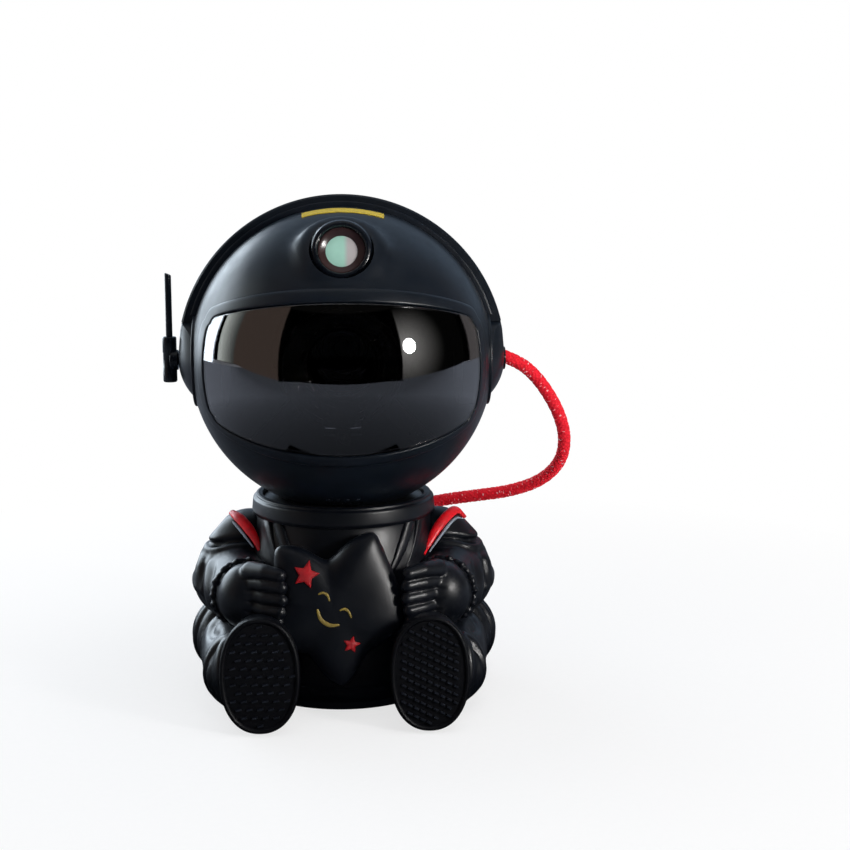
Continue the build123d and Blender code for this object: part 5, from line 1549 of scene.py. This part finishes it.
def lamp(name, place, aim, size, power, shape="RECTANGLE", colour=(1, 1, 1)):
    """Soft lamp of a size in metres and a power in watts, turned towards aim."""
    data = bpy.data.lights.new(name, "AREA")
    data.shape = shape
    data.size, data.size_y = size
    data.energy = power
    data.color = colour
    light = bpy.data.objects.new(name, data)
    bpy.context.scene.collection.objects.link(light)
    light.location = place
    light.rotation_euler = (Vector(aim) - Vector(place)).to_track_quat("-Z", "Y").to_euler()
    return light


def paper_floor():
    """Pale paper that keeps the piece's shadow, and fades to white further off where the camera sees it."""
    bpy.ops.object.select_all(action="DESELECT")
    bpy.ops.mesh.primitive_plane_add(size=8.0, location=(0, 0, 0))
    floor = bpy.context.object
    floor.name = "floor"
    paper, tree, shader, place = blank("floor_paper")
    tree.links.new(mottled(tree, place, 3.0, 3.0, "#e9eaeb", "#eeeeef"), shader.inputs["Base Color"])
    shader.inputs["Roughness"].default_value = 0.8
    away = node(tree, "VectorMath", {0: place}, operation="LENGTH").outputs["Value"]
    share = node(tree, "MapRange", {"Value": away, "From Min": 0.12, "From Max": 0.42,
                                    "To Min": 0.72, "To Max": 1.0}).outputs[0]
    glow = node(tree, "Emission", {"Color": linear("#ffffff"), "Strength": 1.0})
    faded = node(tree, "MixShader", {0: share, 1: shader.outputs[0], 2: glow.outputs[0]})
    seen = node(tree, "LightPath", {}).outputs["Is Camera Ray"]
    both = node(tree, "MixShader", {0: seen, 1: shader.outputs[0], 2: faded.outputs[0]})
    tree.links.new(both.outputs[0], tree.nodes["Material Output"].inputs[0])
    floor.data.materials.append(paper)


def room():
    """Soft even light, in front of a backdrop that is white to the camera and dim in mirrors and glass."""
    world = bpy.data.worlds.new("room")
    bpy.context.scene.world = world
    world.use_nodes = True
    tree = world.node_tree
    tree.nodes.clear()
    way = node(tree, "TexCoord", {}).outputs["Generated"]
    height = node(tree, "SeparateXYZ", {"Vector": way}).outputs["Z"]
    ceiling = node(tree, "MapRange", {"Value": height, "From Min": 0.78, "From Max": 1.0,
                                      "To Min": 0.12, "To Max": 0.32}).outputs[0]
    rays = node(tree, "LightPath", {}).outputs
    seen = node(tree, "Math", {0: rays["Is Camera Ray"], 1: rays["Is Glossy Ray"]}, operation="MAXIMUM")
    seen = node(tree, "Math", {0: seen.outputs[0], 1: rays["Is Transmission Ray"]}, operation="MAXIMUM")
    light = node(tree, "Background", {"Color": linear("#eef3ff"), "Strength": 0.40})
    glow = node(tree, "Math", {0: rays["Is Camera Ray"], 1: ceiling}, operation="MAXIMUM")
    backdrop = node(tree, "Background", {"Color": linear("#ffffff"), "Strength": glow.outputs[0]})
    mixed = node(tree, "MixShader", {0: seen.outputs[0], 1: light.outputs[0], 2: backdrop.outputs[0]})
    out = node(tree, "OutputWorld", {})
    tree.links.new(mixed.outputs[0], out.inputs[0])


def studio():
    """Pale floor, white room, boards all round that show in the glossy pieces, and soft lamps."""
    bpy.context.scene.view_settings.view_transform = "Standard"
    paper_floor()
    mat("mat_front", -2500, 2500, -715, -95, FLOOR_SHADES)
    mat("mat_table_edge", -2500, 2500, -3000, -715, NO_GLOW)
    # the black board under the piece is painted shade: its reflections show it as the shade beneath the piece
    mat("mat_under_painted_shade", -95, 95, -95, 110, NO_GLOW)
    mat("mat_left", -2500, -95, -95, 110, FLOOR_SHADES)
    mat("mat_right", 95, 2500, -95, 110, FLOOR_SHADES)
    mat("mat_rear", -2500, 2500, 110, 1500, FLOOR_SHADES)
    room()
    card("board_black", -46, 43, 0, 800, "#000000", 0.0)
    card("board_over_black", -46, 43, 800, 1500, "#201f1e", 0.5)
    card("board_grey", 43, 99, (15, 105), 1500, "#fffdf8", 1.0, 830, (600, -560, 325), (0, 480, 0.75, 0.004))
    card("board_line_right", 99, 106, 105, 1500, "#020202", 1.0)
    card("board_strip_right", 106, 124, 100, 1500, "#a9a3a3", 0.42)
    card("board_rear", 124, 236, 0, 1500, "#8a9cb0", 1.0)
    card("board_rear_low", 124, 172, 0, 230, "#4a4c50", 1.0, 825)
    card("board_rear_left", -167, -146, 0, 560, "#c3d3e6", 1.5, 822)
    card("board_beige", -85, -46, (130, 10), 1500, "#8c7a70", 0.48)
    card("strip_left", -101, -84, 125, 900, "#e4ece6", 1.0, 820, "Y", (150, -75, 1.6, 0.17))
    card("board_left", -124, -85, 125, 1500, "#3a3c40", 1.0)
    card("board_line_left", -105.5, -101, 125, 1500, "#000000", 0.0, 815)
    lamp("key", (0.587, -0.507, 0.313), (0, 0, 0.14), (0.13, 0.13), 3.2, "DISK", (1.0, 0.98, 0.96))
    lamp("left_softbox", (-0.535, 0.462, 0.32), (0, 0, 0.14), (0.66, 0.46), 4.4, colour=(0.80, 0.91, 1.0))
    lamp("fill_above", (0.25, -0.25, 1.3), (0, 0, 0.1), (0.9, 0.9), 6.0).visible_glossy = False


# ---------------------------------------------------------------- the whole projector
set_camera()
hose()
face_shell()
vent_glint_discs()
surround()
visor()
rear_shell()
crown_band()
ear_cap(LEFT)
ear_cap(RIGHT)
hose_collar()
antenna()
laser_hood()
crown_label()
lens_rings()
torso()
neck_dish()
collar()
for side in (LEFT, RIGHT):
    arm(side)
    leg(side)
piping, edge_highlights = zip(shoulder_piping(LEFT), shoulder_piping(RIGHT))
finished(joined(piping), "shoulder_piping", "torso", RED_LACQUER, ["shoulder_stripes"])
# the pale line under the piping is a painted highlight of its lower edge
finished(joined(edge_highlights), "piping_edge_highlight", "torso", EDGE_HIGHLIGHT_PAINT)
soles()
star_details(star())
finish_nodes()
studio()
